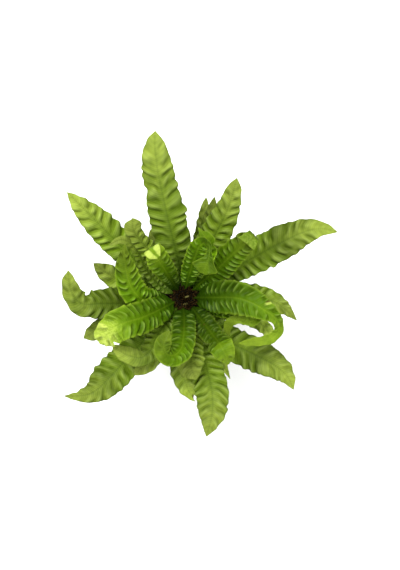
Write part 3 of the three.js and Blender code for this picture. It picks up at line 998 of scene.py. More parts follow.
    def half_width(self, share: np.ndarray) -> np.ndarray:
        """Half the blade's width: the smooth curve through the table's widths, from stalk to tip.

        Args:
            share: shares of the length.

        Returns:
            The half-width at each share.
        """
        stations = np.array([0, self.STALK_END, *self.WIDTH_SHARES, 1])
        halves = [self.STALK_HALF_WIDTH] * 2 + [width / 2 for width in self.widths] + [self.tip]
        return hermite(np.clip(share, 0, 1), stations, np.array(halves))

    def shade_shares(self) -> tuple[float, ...]:
        """Where the shades belong: the last two close in on a crease, where there is one.

        Returns:
            Four shares of the length.
        """
        if self.crease is None:
            return self.SHADE_SHARES
        near, far = self.SHADE_SHARES[:2]
        return near, far, self.crease - self.CREASE_HALF, self.crease + self.CREASE_HALF

    def surface(self, index: int) -> Surface:
        """The blade as a closed skin.

        A row of points runs from margin to margin along a pleat. A point stands off the midrib by the
        half-width times its share across, and is lifted by the fold and by the pleats, which calm
        down near a sharp bend. The upper and the lower face stand off that middle surface.

        Args:
            index: the frond's number in the table, which sets how its pleats wander.

        Returns:
            The skin, with the values that its finish reads at its points.
        """
        frames = self.frames()
        rows = round(frames.length / self.pitch * self.ROWS_PER_PLEAT) + 1
        step, across = np.meshgrid(
            np.linspace(0, 1, rows), np.linspace(-1, 1, self.COLUMNS), indexing="ij")
        share = 1 - (1 - step) ** (1 / self.PLEAT_CROWDING)
        across = np.sign(across) * np.abs(across) ** self.COLUMN_CROWDING
        calm = 1 / (1 + (self.CALM_RADIUS * frames.at(share, frames.sharpest)) ** 2)
        swing, crest, flank = self._pleats(index, frames.length, step, share, across, calm)
        slanted, half = self._outline(frames, share, across, calm, swing)

        fold = math.sin(math.radians(self.fold))
        lift = np.abs(across) * half * fold * calm + self.pleat * crest
        side = unit(frames.at(slanted, frames.side))
        face = unit(frames.at(slanted, frames.face))
        beside = half * across
        middle = frames.at(slanted, frames.place)
        middle = middle + side * beside[..., None] + face * lift[..., None]
        up = self._upward(middle, face)
        rib = np.exp(-((beside / self.RIB_HALF_WIDTH) ** 2)) * (1 - self.RIB_THINNING * share)
        top, bottom = self._thickness(share, across, beside, rib)

        edge = smooth((np.abs(across) - self.EDGE_START) / (1 - self.EDGE_START))
        bleach, scar = self._spots(share, across, frames.length, half)
        values = {
            "along": self.ripeness * share,
            "vein": share * frames.length,
            "rib": rib,
            "edge": edge * smooth(share / self.EDGE_FROM - 1),
            # Partly the frond's own lightness, partly painted light and shade.
            "tone": np.interp(share, self.shade_shares(), self.shades),
            "bleach": bleach,
            "scar": scar,
        }
        values = {key: over_and_under(value, value) for key, value in values.items()}
        values["crest"] = over_and_under(crest, -crest)
        # The pleats' slope, which the finish darkens as painted shade.
        values["flank"] = over_and_under(flank, -flank)
        values["beneath"] = over_and_under(np.zeros_like(share), np.ones_like(share))
        around = 2 * self.COLUMNS
        return Surface(
            points=over_and_under(middle + up * top[..., None], middle - up * bottom[..., None]),
            faces=[
                ring_faces(rows, around),
                ladder_faces(0, around, 1),
                ladder_faces((rows - 1) * around, around, -1),
            ],
            values=values,
        )

    def _pleats(self, index: int, length: float, step: np.ndarray, share: np.ndarray,
                across: np.ndarray, calm: np.ndarray) -> tuple[np.ndarray, np.ndarray, np.ndarray]:
        """The pleats: a sine of the rows, crowded towards the stalk, whose phase is bent by a sine
        and a cosine of itself so that one side is steeper and the crests are broad or narrow. Their
        height and phase wander from pleat to pleat and between the two halves.

        Args:
            index: the frond's number in the table.
            length: the length of the frond.
            step, share, across: the points' shares of the rows, the length and the half-width.
            calm: the share of their height that the pleats keep near a bend.

        Returns:
            The swing of the whole pleat at each point, the height there and the slope there.
        """
        habit = PLEATINGS[self.age]
        out = np.abs(across)
        distance = share * length
        sideways = (self.HALVES_APART * np.sign(across)
                    + self.WANDER_ACROSS * across * self.half_width(share))
        strength = calm * smooth((share - self.STALK_END) / self.PLEAT_RISE)
        strength = strength * smooth((1 - share) / self.fade)
        uneven = habit.uneven * ripple(
            distance, sideways, index + 50, self.HEIGHT_WANDER * self.pitch)
        strength = strength * np.clip(1 + uneven, *self.PLEAT_LIMITS)
        start, full = habit.rise
        raised = smooth((out - start) / (full - start))
        lost = (1 - habit.margin) * smooth((out - self.MARGIN_START) / (1 - self.MARGIN_START))
        raised = raised * (1 - lost)

        stray = habit.stray * ripple(distance, sideways, index, self.PHASE_WANDER * self.pitch)
        turn = 2 * np.pi * length / self.pitch * step + stray * smooth(out * 2)
        turn = turn + habit.lean * np.sin(turn) + habit.breadth * np.cos(turn)
        swing = strength * np.sin(turn)
        return swing, raised * swing, raised * strength * np.cos(turn)

    def _outline(self, frames: Frames, share: np.ndarray, across: np.ndarray, calm: np.ndarray,
                 swing: np.ndarray) -> tuple[np.ndarray, np.ndarray]:
        """Where the points stand: the pleats slant towards the tip and bulge the margins, the inner
        margin draws in near a sharp bend, and the notches bite into it.

        Args:
            frames: the midrib's frames.
            share, across: the points' shares of the length and of the half-width.
            calm, swing: as in _pleats.

        Returns:
            The share of the length that each point stands at, and the half-width there.
        """
        out = np.abs(across)
        near, far = self.PLEAT_SLANT
        slant = (near + (far - near) * share) * calm * out**self.SLANT_BEND * self.half_width(share)
        slanted = np.minimum(share + slant / frames.length, 1)
        toward = np.where(across < 0, frames.at(slanted, frames.to_left),
                          frames.at(slanted, frames.to_right))
        room = self.TURN_ROOM / np.maximum(toward, TINY)
        bulge = 1 + PLEATINGS[self.age].scallop * swing * out
        half = np.minimum(self.half_width(slanted) * bulge, room)
        half = half - self._bites(slanted, across, frames.length)
        return slanted, np.maximum(half, self.LEAST_HALF_WIDTH)

    def _thickness(self, share: np.ndarray, across: np.ndarray, beside: np.ndarray,
                   rib: np.ndarray) -> tuple[np.ndarray, np.ndarray]:
        """How far the two faces stand off the middle surface: a thin blade, with a groove above and
        a ridge below at the midrib, that grows out of a half-round stalk.

        Args:
            share, across: the points' shares of the length and of the half-width.
            beside: how far they stand off the midrib.
            rib: how much of the midrib is there.

        Returns:
            The distance of the upper face and that of the lower face.
        """
        stalk = 1 - smooth((share - self.STALK_END) / self.STALK_FADE)
        dome = stalk * np.sqrt(np.clip(1 - (beside / self.STALK_HALF_WIDTH) ** 2, 0, 1))
        blade = self.BLADE_THICKNESS / 2 * (1 - self.MARGIN_THINNING * across**4)
        rib = (1 - stalk) * rib
        return (blade + dome - self.GROOVE * rib,
                blade + self.STALK_DEPTH * dome + self.RIB_DEPTH * rib)

    def _bites(self, share: np.ndarray, across: np.ndarray, length: float) -> np.ndarray:
        """How far the margin on each point's side is drawn in: by the notches, each a bell along the
        margin, and by a slight waviness that wanders with the length.

        Args:
            share, across: the points' shares of the length and of the half-width.
            length: the length of the frond.

        Returns:
            Millimetres, below 0 where the margin stands out.
        """
        seed = 7 + round(self.azimuth)
        wave = ripple(share * length, self.WAVES_APART * np.sign(across), seed, self.WAVE_LENGTH)
        start, rise = self.WAVE_RISE
        drawn = self.WAVE_DEPTH * wave * smooth((share - start) / rise)
        drawn = drawn * smooth((1 - share) / self.WAVE_FALL)
        for notch in self.notches:
            bell = np.exp(-(((share - notch.share) * length / notch.reach) ** 2))
            drawn = drawn + notch.depth * bell * (np.sign(across) == notch.side)
        return drawn

    def _spots(self, share: np.ndarray, across: np.ndarray, length: float,
               half: np.ndarray) -> tuple[np.ndarray, np.ndarray]:
        """How bleached and how scarred each point is: a blemish is full in the middle of its ellipse
        and falls smoothly to 0 outside it.

        Args:
            share, across: the points' shares of the length and of the half-width.
            length: the length of the frond.
            half: the half-width at each point.

        Returns:
            The bleached share and the scarred share of each point.
        """
        shares = {False: np.zeros_like(share), True: np.zeros_like(share)}
        full, none = self.SPOT_RIM
        for blemish in self.blemishes:
            along = (share - blemish.share) * length / blemish.reach[0]
            beside = (across - blemish.across) * half / blemish.reach[1]
            inside = blemish.strength * smooth((none - np.hypot(along, beside)) / (none - full))
            shares[blemish.scarred] = np.maximum(shares[blemish.scarred], inside)
        return shares[False], shares[True]

    def _upward(self, middle: np.ndarray, face: np.ndarray) -> np.ndarray:
        """The middle surface's own normal: the cross product of its slopes, turned towards the
        frame's face where the two are far apart.

        Args:
            middle: the middle surface's points.
            face: the frame's face at each.

        Returns:
            The normal at each.
        """
        normal = unit(np.cross(np.gradient(middle, axis=1), np.gradient(middle, axis=0)))
        facing = np.einsum("ijk,ijk->ij", normal, face)[..., None]
        return unit(normal + face * np.maximum(self.LEAST_FACING - facing, 0))

    def build(self, index: int, material: bpy.types.Material) -> None:
        """Makes the frond's piece and hands it over.

        Args:
            index: the frond's number in the table.
            material: the finish of its age.
        """
        node = f"frond_{self.name}"
        piece = self.surface(index).to_object(f"{node}_leaf", material)
        hand_over(piece, [node])


FRONDS = (
    Frond(
        "north_long", Tier.MIDDLE, 98, (20, 40, 49, 45, 39, 23), 14, 1.5, 8,
        ((-5, 40, 158), (-12, 68, 190), (-22, 108, 215),
         (-34, 165, 230), (-38, 198, 234), (-38, 220, 234)),
        Age.MATURE, (1.6, 0.9, 0.8, 0.8),
        blemishes=(Blemish(0.28, -0.3, (1.5, 1), scarred=True),),
        notches=(Notch(0.71, -1, 3, 8), Notch(0.59, 1, -3, 7), Notch(0.5, 1, 2, 4)),
    ),
    Frond(
        "northwest_long", Tier.OUTER, 140, (19, 32, 40, 41, 30, 14), 14, 1.4, 6,
        ((-45, 35, 139), (-79, 64, 162), (-115, 100, 185), (-136, 121, 201), (-156, 141, 213)),
        Age.MATURE, (1.6, 1.6, 1.1, 1.0),
    ),
    Frond(
        "northwest_upright", Tier.MIDDLE, 121, (11, 19, 25, 23, 21, 22), 9, 1.1, 4,
        ((-24, 36, 150), (-43, 60, 181), (-60, 79, 199), (-68, 92, 210), (-68, 106, 217)),
        Age.MATURE, (1.2, 1.2, 1.1, 0.7),
        notches=(Notch(0.98, 1, -4, 4),),
    ),
    Frond(
        "northwest_sliver", Tier.MIDDLE, 156, (11, 14, 16, 15, 12, 7), 9, 0.9, 14,
        ((-35, 18, 139), (-53, 42, 163), (-67, 70, 188), (-84, 78, 200), (-101, 71, 201)),
        Age.MATURE, (1.6, 0.8, 1.2, 0.7), fade=0.6,
    ),
    Frond(
        "northwest_low", Tier.LOW, 117, (14, 20, 24, 22, 17, 9), 13, 1.2, 0,
        ((-21, 40, 116), (-39, 71, 126), (-47, 97, 126)),
        Age.MATURE, (0.5, 0.5, 0.5, 0.5),
    ),
    Frond(
        "west_upturned", Tier.MIDDLE, 188, (20, 36, 38, 34, 25, 8), 10, 1.8, 4,
        ((-34, -6, 141), (-56, -3, 168), (-71, 13, 187),
         (-78, 38, 202), (-80, 57, 212), (-79, 72, 216)),
        Age.YOUNG, (1.2, 1.4, 0.8, 0.4), fade=0.15, ripeness=0.93,
        notches=(Notch(0.15, -1, 1.2, 7),),
    ),
    Frond(
        "north_inner", Tier.INNER, 128, (14, 21, 28, 32, 28, 22), 9, 1.7, 10,
        ((-15, 21, 150), (-22, 32, 182), (-30, 44, 208), (-38, 56, 228), (-44, 65, 239),
         (-43, 63, 245), (-33, 53, 243)),
        Age.YOUNG, (0.5, 0.6, 1.1, 0.7), fade=0.08, crease=0.86, tip=3,
        # Bleached patches on the flap; the greener line left between them is a painted shadow of the
        # fold.
        blemishes=(
            Blemish(0.93, -0.6, (8, 4.5), strength=1.2),
            Blemish(0.93, 0.6, (8, 4.5), strength=1.2),
        ),
        notches=(Notch(0.85, -1, 3.5, 12),),
    ),
    Frond(
        "west_low", Tier.LOW, 160, (14, 22, 28, 29, 25, 12), 13, 1.2, 0,
        ((-35, 16, 118), (-65, 23, 134), (-92, 27, 146), (-112, 38, 156), (-125, 48, 160)),
        Age.MATURE, (1.6, 1.6, 1.3, 0.5),
        notches=(Notch(0.7, -1, -5, 6),),
    ),
    Frond(
        "west_long", Tier.OUTER, 190, (22, 36, 45, 37, 26, 16), 12, 1.4, 4,
        ((-45, -8, 142), (-79, -8, 164), (-114, -8, 178), (-138, -8, 184), (-150, 3, 190),
         (-155, 19, 195), (-156, 37, 198)),
        Age.MATURE, (0.5, 0.5, 0.7, 0.7),
    ),
    Frond(
        "west_under", Tier.LOW, 205, (14, 23, 29, 31, 27, 15), 14, 1.2, 0,
        ((-45, -18, 128), (-86, -31, 142), (-115, -43, 148), (-140, -56, 148)),
        Age.MATURE, (1.0, 0.8, 0.8, 0.6),
    ),
    Frond(
        "southwest_bright", Tier.INNER, 203, (26, 38, 44, 44, 39, 29), 11, 1.7, 6,
        ((-36, -17, 166), (-59, -27, 196), (-79, -33, 212), (-91, -39, 214),
         (-101, -48, 207), (-107, -56, 197), (-109, -64, 186)),
        Age.YOUNG, (1.0, 0.7, 0.8, 1.0), fade=0.06, tip=5,
        blemishes=(
            Blemish(0.9, 0.1, (28, 26), strength=0.66),
            Blemish(0.95, -0.15, (6, 6), strength=1.2),
            Blemish(0.87, -0.65, (4, 6), strength=1.2),
            Blemish(0.80, 0.75, (4, 8), strength=1.2),
            Blemish(0.79, 0.6, (1.2, 1), scarred=True, strength=0.6),
        ),
        notches=(Notch(0.87, -1, 7, 4),),
    ),
    Frond(
        "southwest_curled", Tier.MIDDLE, 233, (18, 26, 28, 26, 23, 12), 11, 1.1, 0,
        ((-24, -32, 146), (-38, -54, 168), (-46, -72, 180), (-58, -81, 183),
         (-74, -79, 182), (-90, -71, 178), (-98, -64, 172)),
        Age.MATURE, (1.6, 1.6, 0.6, 1.1), fade=0.6,
        notches=(Notch(0.16, 1, 1.8, 8),),
    ),
    Frond(
        "southwest_long", Tier.LOW, 226, (24, 36, 47, 47, 23, 8), 13, 1.6, 2,
        ((-27, -29, 111), (-52, -56, 125), (-79, -84, 140), (-101, -108, 148),
         (-126, -131, 150), (-148, -137, 147), (-168, -137, 142)),
        Age.MATURE, (1.6, 1.6, 0.7, 0.7),
    ),
    Frond(
        "southwest_under", Tier.OUTER, 243, (18, 28, 34, 33, 26, 13), 13, 1.3, 0,
        ((-20, -38, 132), (-36, -67, 152), (-53, -90, 160), (-69, -107, 156)),
        Age.MATURE, (1.6, 1.6, 1.6, 0.8),
    ),
    Frond(
        "south_curled", Tier.INNER, 266, (24, 32, 34, 33, 28, 15), 8, 1.5, 6,
        ((0, -32, 164), (-1, -53, 192), (-4, -68, 208), (-13, -76, 219),
         (-23, -74, 228), (-27, -61, 232), (-19, -43, 229)),
        Age.YOUNG, (0.7, 0.5, 0.8, 0.4), fade=0.12, ripeness=0.86,
        blemishes=(Blemish(0.38, 0, (1, 0.9), scarred=True),),
    ),
    Frond(
        "south_middle", Tier.MIDDLE, 282, (10, 21, 31, 35, 37, 20), 9, 1.0, 2,
        ((6, -36, 134), (10, -62, 159), (9, -82, 177), (10, -96, 185), (17, -111, 184)),
        Age.MATURE, (1.6, 1.6, 1.1, 0.7),
    ),
    Frond(
        "south_under", Tier.LOW, 266, (14, 24, 33, 33, 25, 12), 14, 1.3, 0,
        ((-3, -40, 111), (-5, -72, 124), (-1, -108, 135), (6, -128, 138), (15, -145, 137)),
        Age.MATURE, (0.7, 0.7, 0.8, 1.6),
        blemishes=(Blemish(0.94, -0.5, (4, 1.5), scarred=True),),
        notches=(Notch(0.96, -1, 4, 4),),
    ),
    Frond(
        "south_long", Tier.OUTER, 293, (22, 36, 44, 46, 36, 15), 11, 1.4, 4,
        ((15, -40, 122), (23, -69, 138), (33, -104, 158),
         (39, -134, 171), (38, -161, 175), (31, -190, 172)),
        Age.MATURE, (1.6, 1.6, 0.9, 0.7),
    ),
    Frond(
        "southeast_low", Tier.LOW, 303, (14, 22, 24, 18, 10, 4), 13, 1.1, 0,
        ((29, -43, 112), (46, -74, 122), (65, -114, 127)),
        Age.MATURE, (1.6, 1.6, 1.6, 1.5),
    ),
    Frond(
        "southeast_curled", Tier.MIDDLE, 309, (19, 30, 32, 29, 31, 16), 8, 1.4, 4,
        ((25, -32, 160), (38, -49, 190), (46, -59, 212), (51, -67, 224), (56, -77, 222),
         (59, -89, 212)),
        Age.YOUNG, (0.6, 0.4, 0.4, 0.7), fade=0.12, crease=0.75, ripeness=0.86,
        blemishes=(Blemish(0.41, 0.04, (1.2, 1), scarred=True),),
        notches=(
            Notch(0.67, 1, 3, 5),
            Notch(0.77, 1, -3, 4),
            Notch(0.67, -1, 3, 5),
            Notch(0.8, -1, -1, 7),
        ),
    ),
    Frond(
        "east_bright", Tier.INNER, 0, (28, 44, 43, 15, 14, 9), 11, 1.8, 4,
        ((43, 1, 180), (72, 0, 206), (92, -7, 216), (107, -16, 218), (120, -25, 213),
         (127, -36, 206), (125, -48, 201), (114, -56, 200), (97, -59, 202), (73, -61, 204)),
        Age.YOUNG, (0.7, 0.6, 0.8, 0.6), fade=0.45,
        blemishes=(
            Blemish(0.58, -0.85, (3, 7), strength=0.9),
            Blemish(0.57, -0.85, (1.6, 3.5), scarred=True, strength=0.9),
        ),
    ),
    Frond(
        "east_behind", Tier.LOW, 12, (14, 24, 29, 31, 19, 7), 13, 1.3, 2,
        ((41, 8, 124), (81, 7, 144), (110, 0, 154),
         (128, -7, 157), (142, -17, 155), (157, -31, 147)),
        Age.MATURE, (1.3, 1.2, 1.1, 0.7),
    ),
    Frond(
        "east_low", Tier.LOW, 343, (16, 24, 26, 22, 18, 10), 12, 1.2, 0,
        ((41, -13, 118), (75, -22, 136), (104, -34, 150), (117, -48, 156), (118, -64, 154)),
        Age.MATURE, (1.6, 1.6, 1.6, 1.6),
    ),
    Frond(
        "east_rolled", Tier.OUTER, 340, (12, 19, 18, 14, 13, 9), 12, 1.2, 8,
        ((38, -14, 142), (66, -20, 168), (90, -21, 184), (100, -27, 190), (92, -32, 192),
         (76, -29, 192), (64, -32, 189), (59, -41, 185), (62, -52, 180)),
        Age.YOUNG, (1.6, 1.6, 1.0, 0.4), fade=0.3,
    ),
    Frond(
        "southeast_long", Tier.OUTER, 319, (20, 36, 45, 44, 30, 13), 16, 1.4, 4,
        ((34, -33, 134), (64, -61, 156), (95, -77, 168),
         (122, -91, 173), (141, -107, 172), (151, -126, 166)),
        Age.MATURE, (1.6, 1.4, 0.6, 0.9),
    ),
    Frond(
        "northeast_long", Tier.OUTER, 29, (18, 34, 46, 46, 31, 13), 14, 1.5, 4,
        ((41, 24, 142), (75, 44, 166), (109, 63, 186), (140, 79, 202),
         (166, 90, 212), (185, 92, 216), (205, 88, 213)),
        Age.MATURE, (1.4, 1.5, 0.5, 0.9),
    ),
    Frond(
        "northeast_curled", Tier.MIDDLE, 42, (20, 34, 40, 34, 28, 26), 9, 1.6, 0,
        ((31, 28, 154), (50, 44, 180), (63, 57, 200), (75, 68, 216), (86, 78, 226),
         (92, 84, 231), (90, 81, 236), (82, 71, 236)),
        Age.YOUNG, (1.6, 0.8, 0.3, 0.5), fade=0.1, crease=0.92, tip=11,
        blemishes=(Blemish(0.97, 0, (12, 16), strength=0.42),),
        notches=(
            Notch(0.9, -1, 6, 9),
            Notch(0.9, 1, 5, 9),
            Notch(1, -1, -3, 3),
            Notch(1, 1, -2, 3),
        ),
    ),
    Frond(
        "north_northeast_long", Tier.OUTER, 60, (18, 31, 42, 38, 27, 16), 12, 1.4, 4,
        ((19, 40, 131), (33, 69, 156), (46, 93, 177),
         (57, 115, 192), (65, 138, 201), (71, 161, 206)),
        Age.MATURE, (1.3, 1.2, 0.9, 0.7),
    ),
    Frond(
        "north_low", Tier.LOW, 89, (8, 14, 20, 19, 15, 8), 13, 1.1, 0,
        ((10, 44, 113), (21, 77, 123), (28, 109, 131), (31, 141, 138)),
        Age.MATURE, (0.5, 0.6, 0.7, 0.8),
    ),
    Frond(
        "north_under", Tier.LOW, 69, (10, 17, 22, 20, 16, 8), 13, 1.1, 0,
        ((16, 48, 128), (26, 80, 144), (36, 111, 156), (42, 139, 166)),
        Age.MATURE, (0.5, 0.5, 0.6, 0.6),
    ),
    Frond(
        "north_northeast_inner", Tier.MIDDLE, 64, (10, 16, 22, 22, 21, 9), 8, 1.4, 4,
        ((18, 34, 163), (29, 52, 193), (33, 66, 210), (29, 80, 223), (19, 93, 228)),
        Age.YOUNG, (0.6, 0.8, 1.6, 0.7), fade=0.45, crease=0.72, ripeness=0.75,
        notches=(Notch(0.81, 1, 4.5, 3.5), Notch(0.96, 1, 3, 3)),
    ),
    Frond(
        "north_northeast_curled", Tier.INNER, 80, (15, 24, 27, 22, 7, 31), 8, 1.3, 4,
        ((5, 24, 150), (9, 38, 178), (14, 54, 206), (20, 68, 226), (28, 73, 238),
         (33, 67, 244), (33, 56, 245), (29, 44, 243), (24, 32, 238)),
        Age.YOUNG, (1.6, 1.1, 1.0, 0.5), fade=0.1, crease=0.72, tip=4, ripeness=0.72,
        notches=(Notch(0.95, -1, -3, 3), Notch(0.955, 1, -3, 3)),
    ),
)


# Rhizome, croziers, pot and potting mix


def capped(rings: np.ndarray, start: Sequence[float], end: Sequence[float]) -> Surface:
    """A closed skin of rings, with a fan of triangles from a point to the ring at each end.

    Args:
        rings: the points, by ring and place in it.
        start, end: the points that close the first ring and the last.

    Returns:
        The skin.
    """
    rows, sides = rings.shape[:2]
    around = np.arange(sides)
    beside = (around + 1) % sides
    last = (rows - 1) * sides
    pole = np.full(sides, rows * sides)
    fans = [
        np.stack([pole, beside, around], axis=1),
        np.stack([pole + 1, last + around, last + beside], axis=1),
    ]
    points = np.vstack([rings.reshape(-1, 3), start, end])
    return Surface(points, [ring_faces(rows, sides), *fans])


def turned(profile: np.ndarray, sides: int) -> Surface:
    """A closed skin turned about the upright axis: each profile point becomes a ring, apart from the
    first and the last, which lie on the axis.

    Args:
        profile: radius and height of each point, from the axis below, round the outside, to the axis.
        sides: the points in a ring.

    Returns:
        The skin.
    """
    angles = np.arange(sides) * 2 * np.pi / sides
    radius, height = profile[1:-1].T[..., None]
    rings = np.stack([
        radius * np.cos(angles), radius * np.sin(angles), height + 0 * angles], axis=-1)
    return capped(rings, [0, 0, profile[0, 1]], [0, 0, profile[-1, 1]])


def tube(path: np.ndarray, radii: np.ndarray, sides: int) -> Surface:
    """A round tube along a path, closed at both ends: at each place a circle of the given radius
    stands square to the path.

    Args:
        path: the places along the middle, none of whose steps points along ASLANT.
        radii: the radius at each place.
        sides: the points round the tube.

    Returns:
        The skin, with along from 0 to 1.
    """
    forward = unit(np.gradient(path, axis=0))
    side = unit(np.cross(forward, ASLANT))
    face = np.cross(side, forward)
    angles = -np.arange(sides)[:, None] * 2 * np.pi / sides
    circles = side[:, None] * np.cos(angles) + face[:, None] * np.sin(angles)
    skin = capped(path[:, None] + radii[:, None, None] * circles, path[0], path[-1])
    skin.values["along"] = np.append(np.repeat(np.linspace(0, 1, len(path)), sides), [0, 1])
    return skin


def strewn(points: np.ndarray, values: dict[str, np.ndarray]) -> Surface:
    """Many small closed solids as one skin: each is a stack of rings whose two ends are flat faces.

    Args:
        points: the points, by solid, ring and place in the ring.
        values: the values at the points.

    Returns:
        The skin.
    """
    count, rows, sides = points.shape[:3]
    end = np.arange(sides)[None, :]
    templates = (ring_faces(rows, sides), end, (rows - 1) * sides + end[:, ::-1])
    offsets = (np.arange(count) * rows * sides)[:, None, None]
    faces = [(template + offsets).reshape(-1, template.shape[1]) for template in templates]
    return Surface(points.reshape(-1, 3), faces, values)


def merged(surfaces: Sequence[Surface]) -> Surface:
    """Several skins as one mesh in the making.

    Args:
        surfaces: the skins.

    Returns:
        The whole, with the values that all of them hold.
    """
    starts = np.cumsum([0] + [len(s.points) for s in surfaces])
    keys = set.intersection(*(set(s.values) for s in surfaces))
    return Surface(
        np.vstack([s.points for s in surfaces]),
        [faces + start for s, start in zip(surfaces, starts) for faces in s.faces],
        {key: np.concatenate([s.values[key] for s in surfaces]) for key in sorted(keys)},
    )


def rounded(profile: Sequence[tuple[float, float]], radius: float, pieces: int = 4,
            most: float = 0.45) -> np.ndarray:
    """A profile with its corners rounded: each becomes a parabola between two points near it.

    Args:
        profile: radius and height of each corner.
        radius: how far from the corner the rounding starts.
        pieces: the spans of each rounding.
        most: the largest share of a side that a rounding takes.

    Returns:
        Radius and height of each point.
    """
    corners = np.array(profile, float)
    points = [corners[0]]
    t = np.linspace(0, 1, pieces + 1)[:, None]
    for before, corner, after in zip(corners, corners[1:], corners[2:]):
        back, on = before - corner, after - corner
        reach = min(radius, most * float(np.hypot(*back)), most * float(np.hypot(*on)))
        start, end = corner + back / np.hypot(*back) * reach, corner + on / np.hypot(*on) * reach
        points.extend((1 - t) ** 2 * start + 2 * t * (1 - t) * corner + t**2 * end)
    points.append(corners[-1])
    return np.array(points)


def subdivided(profile: np.ndarray, longest: float) -> np.ndarray:
    """A profile with points added evenly, so that no span is longer than a length.

    Args:
        profile: radius and height of each point.
        longest: the length.

    Returns:
        Radius and height of each point, the added ones too.
    """
    pieces = [profile[:1]]
    for start, end in zip(profile, profile[1:]):
        count = max(1, math.ceil(float(np.hypot(*(end - start))) / longest))
        pieces.append(start + (end - start) * (np.arange(1, count + 1) / count)[:, None])
    return np.vstack(pieces)


@dataclass(frozen=True)
class Rhizome:
    """The short stump in the middle, clothed in dark papery scales, sunk in the potting mix."""

    foot: float = 80.0
    radius: float = 19.0
    top: float = 124.0
    corner: float = 3.0
    span: float = 2.0
    sides: int = 72
    bump_depth: float = 0.5
    bump_size: float = 4.0
    scales: int = 330
    scale_inset: float = 4.5
    scale_drop: float = 7.0
    scale_lean: tuple[float, float] = (6.0, 46.0)
    scale_length: float = 11.0
    scale_half_width: float = 1.15
    scale_thickness: float = 0.35
    scale_bend: float = 0.16
    scale_rows: int = 8
    scale_sides: int = 6

    UPRIGHT = (0, 0, 1.0)
    # Keeps the cross product from vanishing where a scale lies level.
    NUDGE = (0, 0, 1e-3)

    def stump(self) -> Surface:
        """The stump: a turned profile, roughened by ripples that draw its flank in.

        Returns:
            The stump's skin.
        """
        profile = rounded([
            (0, self.foot), (self.radius - 3, self.foot), (self.radius, self.foot + 8),
            (self.radius, 105), (self.radius - 1.5, 113), (self.radius - 5, 121),
            (self.radius - 8, self.top), (5, self.top - 1.5), (0, self.top - 1)], self.corner)
        skin = turned(subdivided(profile, self.span), self.sides)
        x, y, z = skin.points.T
        outward = unit(skin.points * [1, 1, 0])
        bumps = ripple(x + 0.7 * z, y - 0.5 * z, 5, self.bump_size) * self.bump_depth
        skin.points = skin.points - outward * np.abs(bumps)[:, None]
        count = len(skin.points)
        skin.values = {"along": np.full(count, 0.1), "tone": np.full(count, 0.7)}
        return skin

    def scale_skins(self) -> Surface:
        """All the scales at once. A scale is a flattened tube whose half-width follows a power of a
        half sine, broad near its root and pointed at its tip, and whose middle line bends outwards by
        a parabola. Scales stand by the golden angle, upright in the middle and leaning out towards
        the flank.

        Returns:
            The scales as one mesh in the making.
        """
        random = np.random.default_rng(11)
        n = np.arange(self.scales)
        share = (n + 0.5) / self.scales
        azimuth = n * GOLDEN_ANGLE + random.normal(0, 0.12, self.scales)
        radius = (self.radius - self.scale_inset) * share**0.55
        drop = self.scale_drop * share**3 + random.uniform(-0.8, 0.8, self.scales)
        root = np.stack([radius * np.cos(azimuth), radius * np.sin(azimuth),
                         self.top - 1.5 - drop], axis=1)
        least, more = self.scale_lean
        lean = np.radians(least + more * share**1.3 + random.normal(0, 10, self.scales))
        pointing = azimuth + random.normal(0, 0.35, self.scales)
        out = np.stack([np.cos(pointing), np.sin(pointing), np.zeros(self.scales)], axis=1)
        axis = out * np.sin(lean)[:, None] + np.array(self.UPRIGHT) * np.cos(lean)[:, None]
        across = unit(np.cross(axis, out + self.NUDGE))
        face = np.cross(across, axis)
        length = self.scale_length * (1 - 0.3 * share) * random.uniform(0.7, 1.15, self.scales)

        t = np.linspace(0, 1, self.scale_rows)
        width = self.scale_half_width * (np.sin(np.pi * (0.25 + 0.75 * t)) ** 0.7 * 0.96 + 0.04)
        thick = self.scale_thickness * (1 - 0.6 * t)
        bend = self.scale_bend * t**2
        angles = -np.arange(self.scale_sides) * 2 * np.pi / self.scale_sides
        middle = (root[:, None] + axis[:, None] * (length[:, None] * t)[..., None]
                  - face[:, None] * (length[:, None] * bend)[..., None])
        sideways = across[:, None, None] * (width[:, None] * np.cos(angles))[None, ..., None]
        upwards = face[:, None, None] * (thick[:, None] * np.sin(angles))[None, ..., None]
        points = middle[:, :, None] + sideways + upwards
        along = np.broadcast_to(t[None, :, None], points.shape[:3]).ravel()
        tone = random.uniform(0.55, 1.35, self.scales)
        return strewn(points, {
            "along": along, "tone": np.repeat(tone, self.scale_rows * self.scale_sides)})

    def build(self) -> None:
        """Makes the stump with its scales and hands it over."""
        skin = merged([self.stump(), self.scale_skins()])
        piece = skin.to_object("rhizome_with_scales", ScaleFinish().material())
        hand_over(piece, ["crown"])


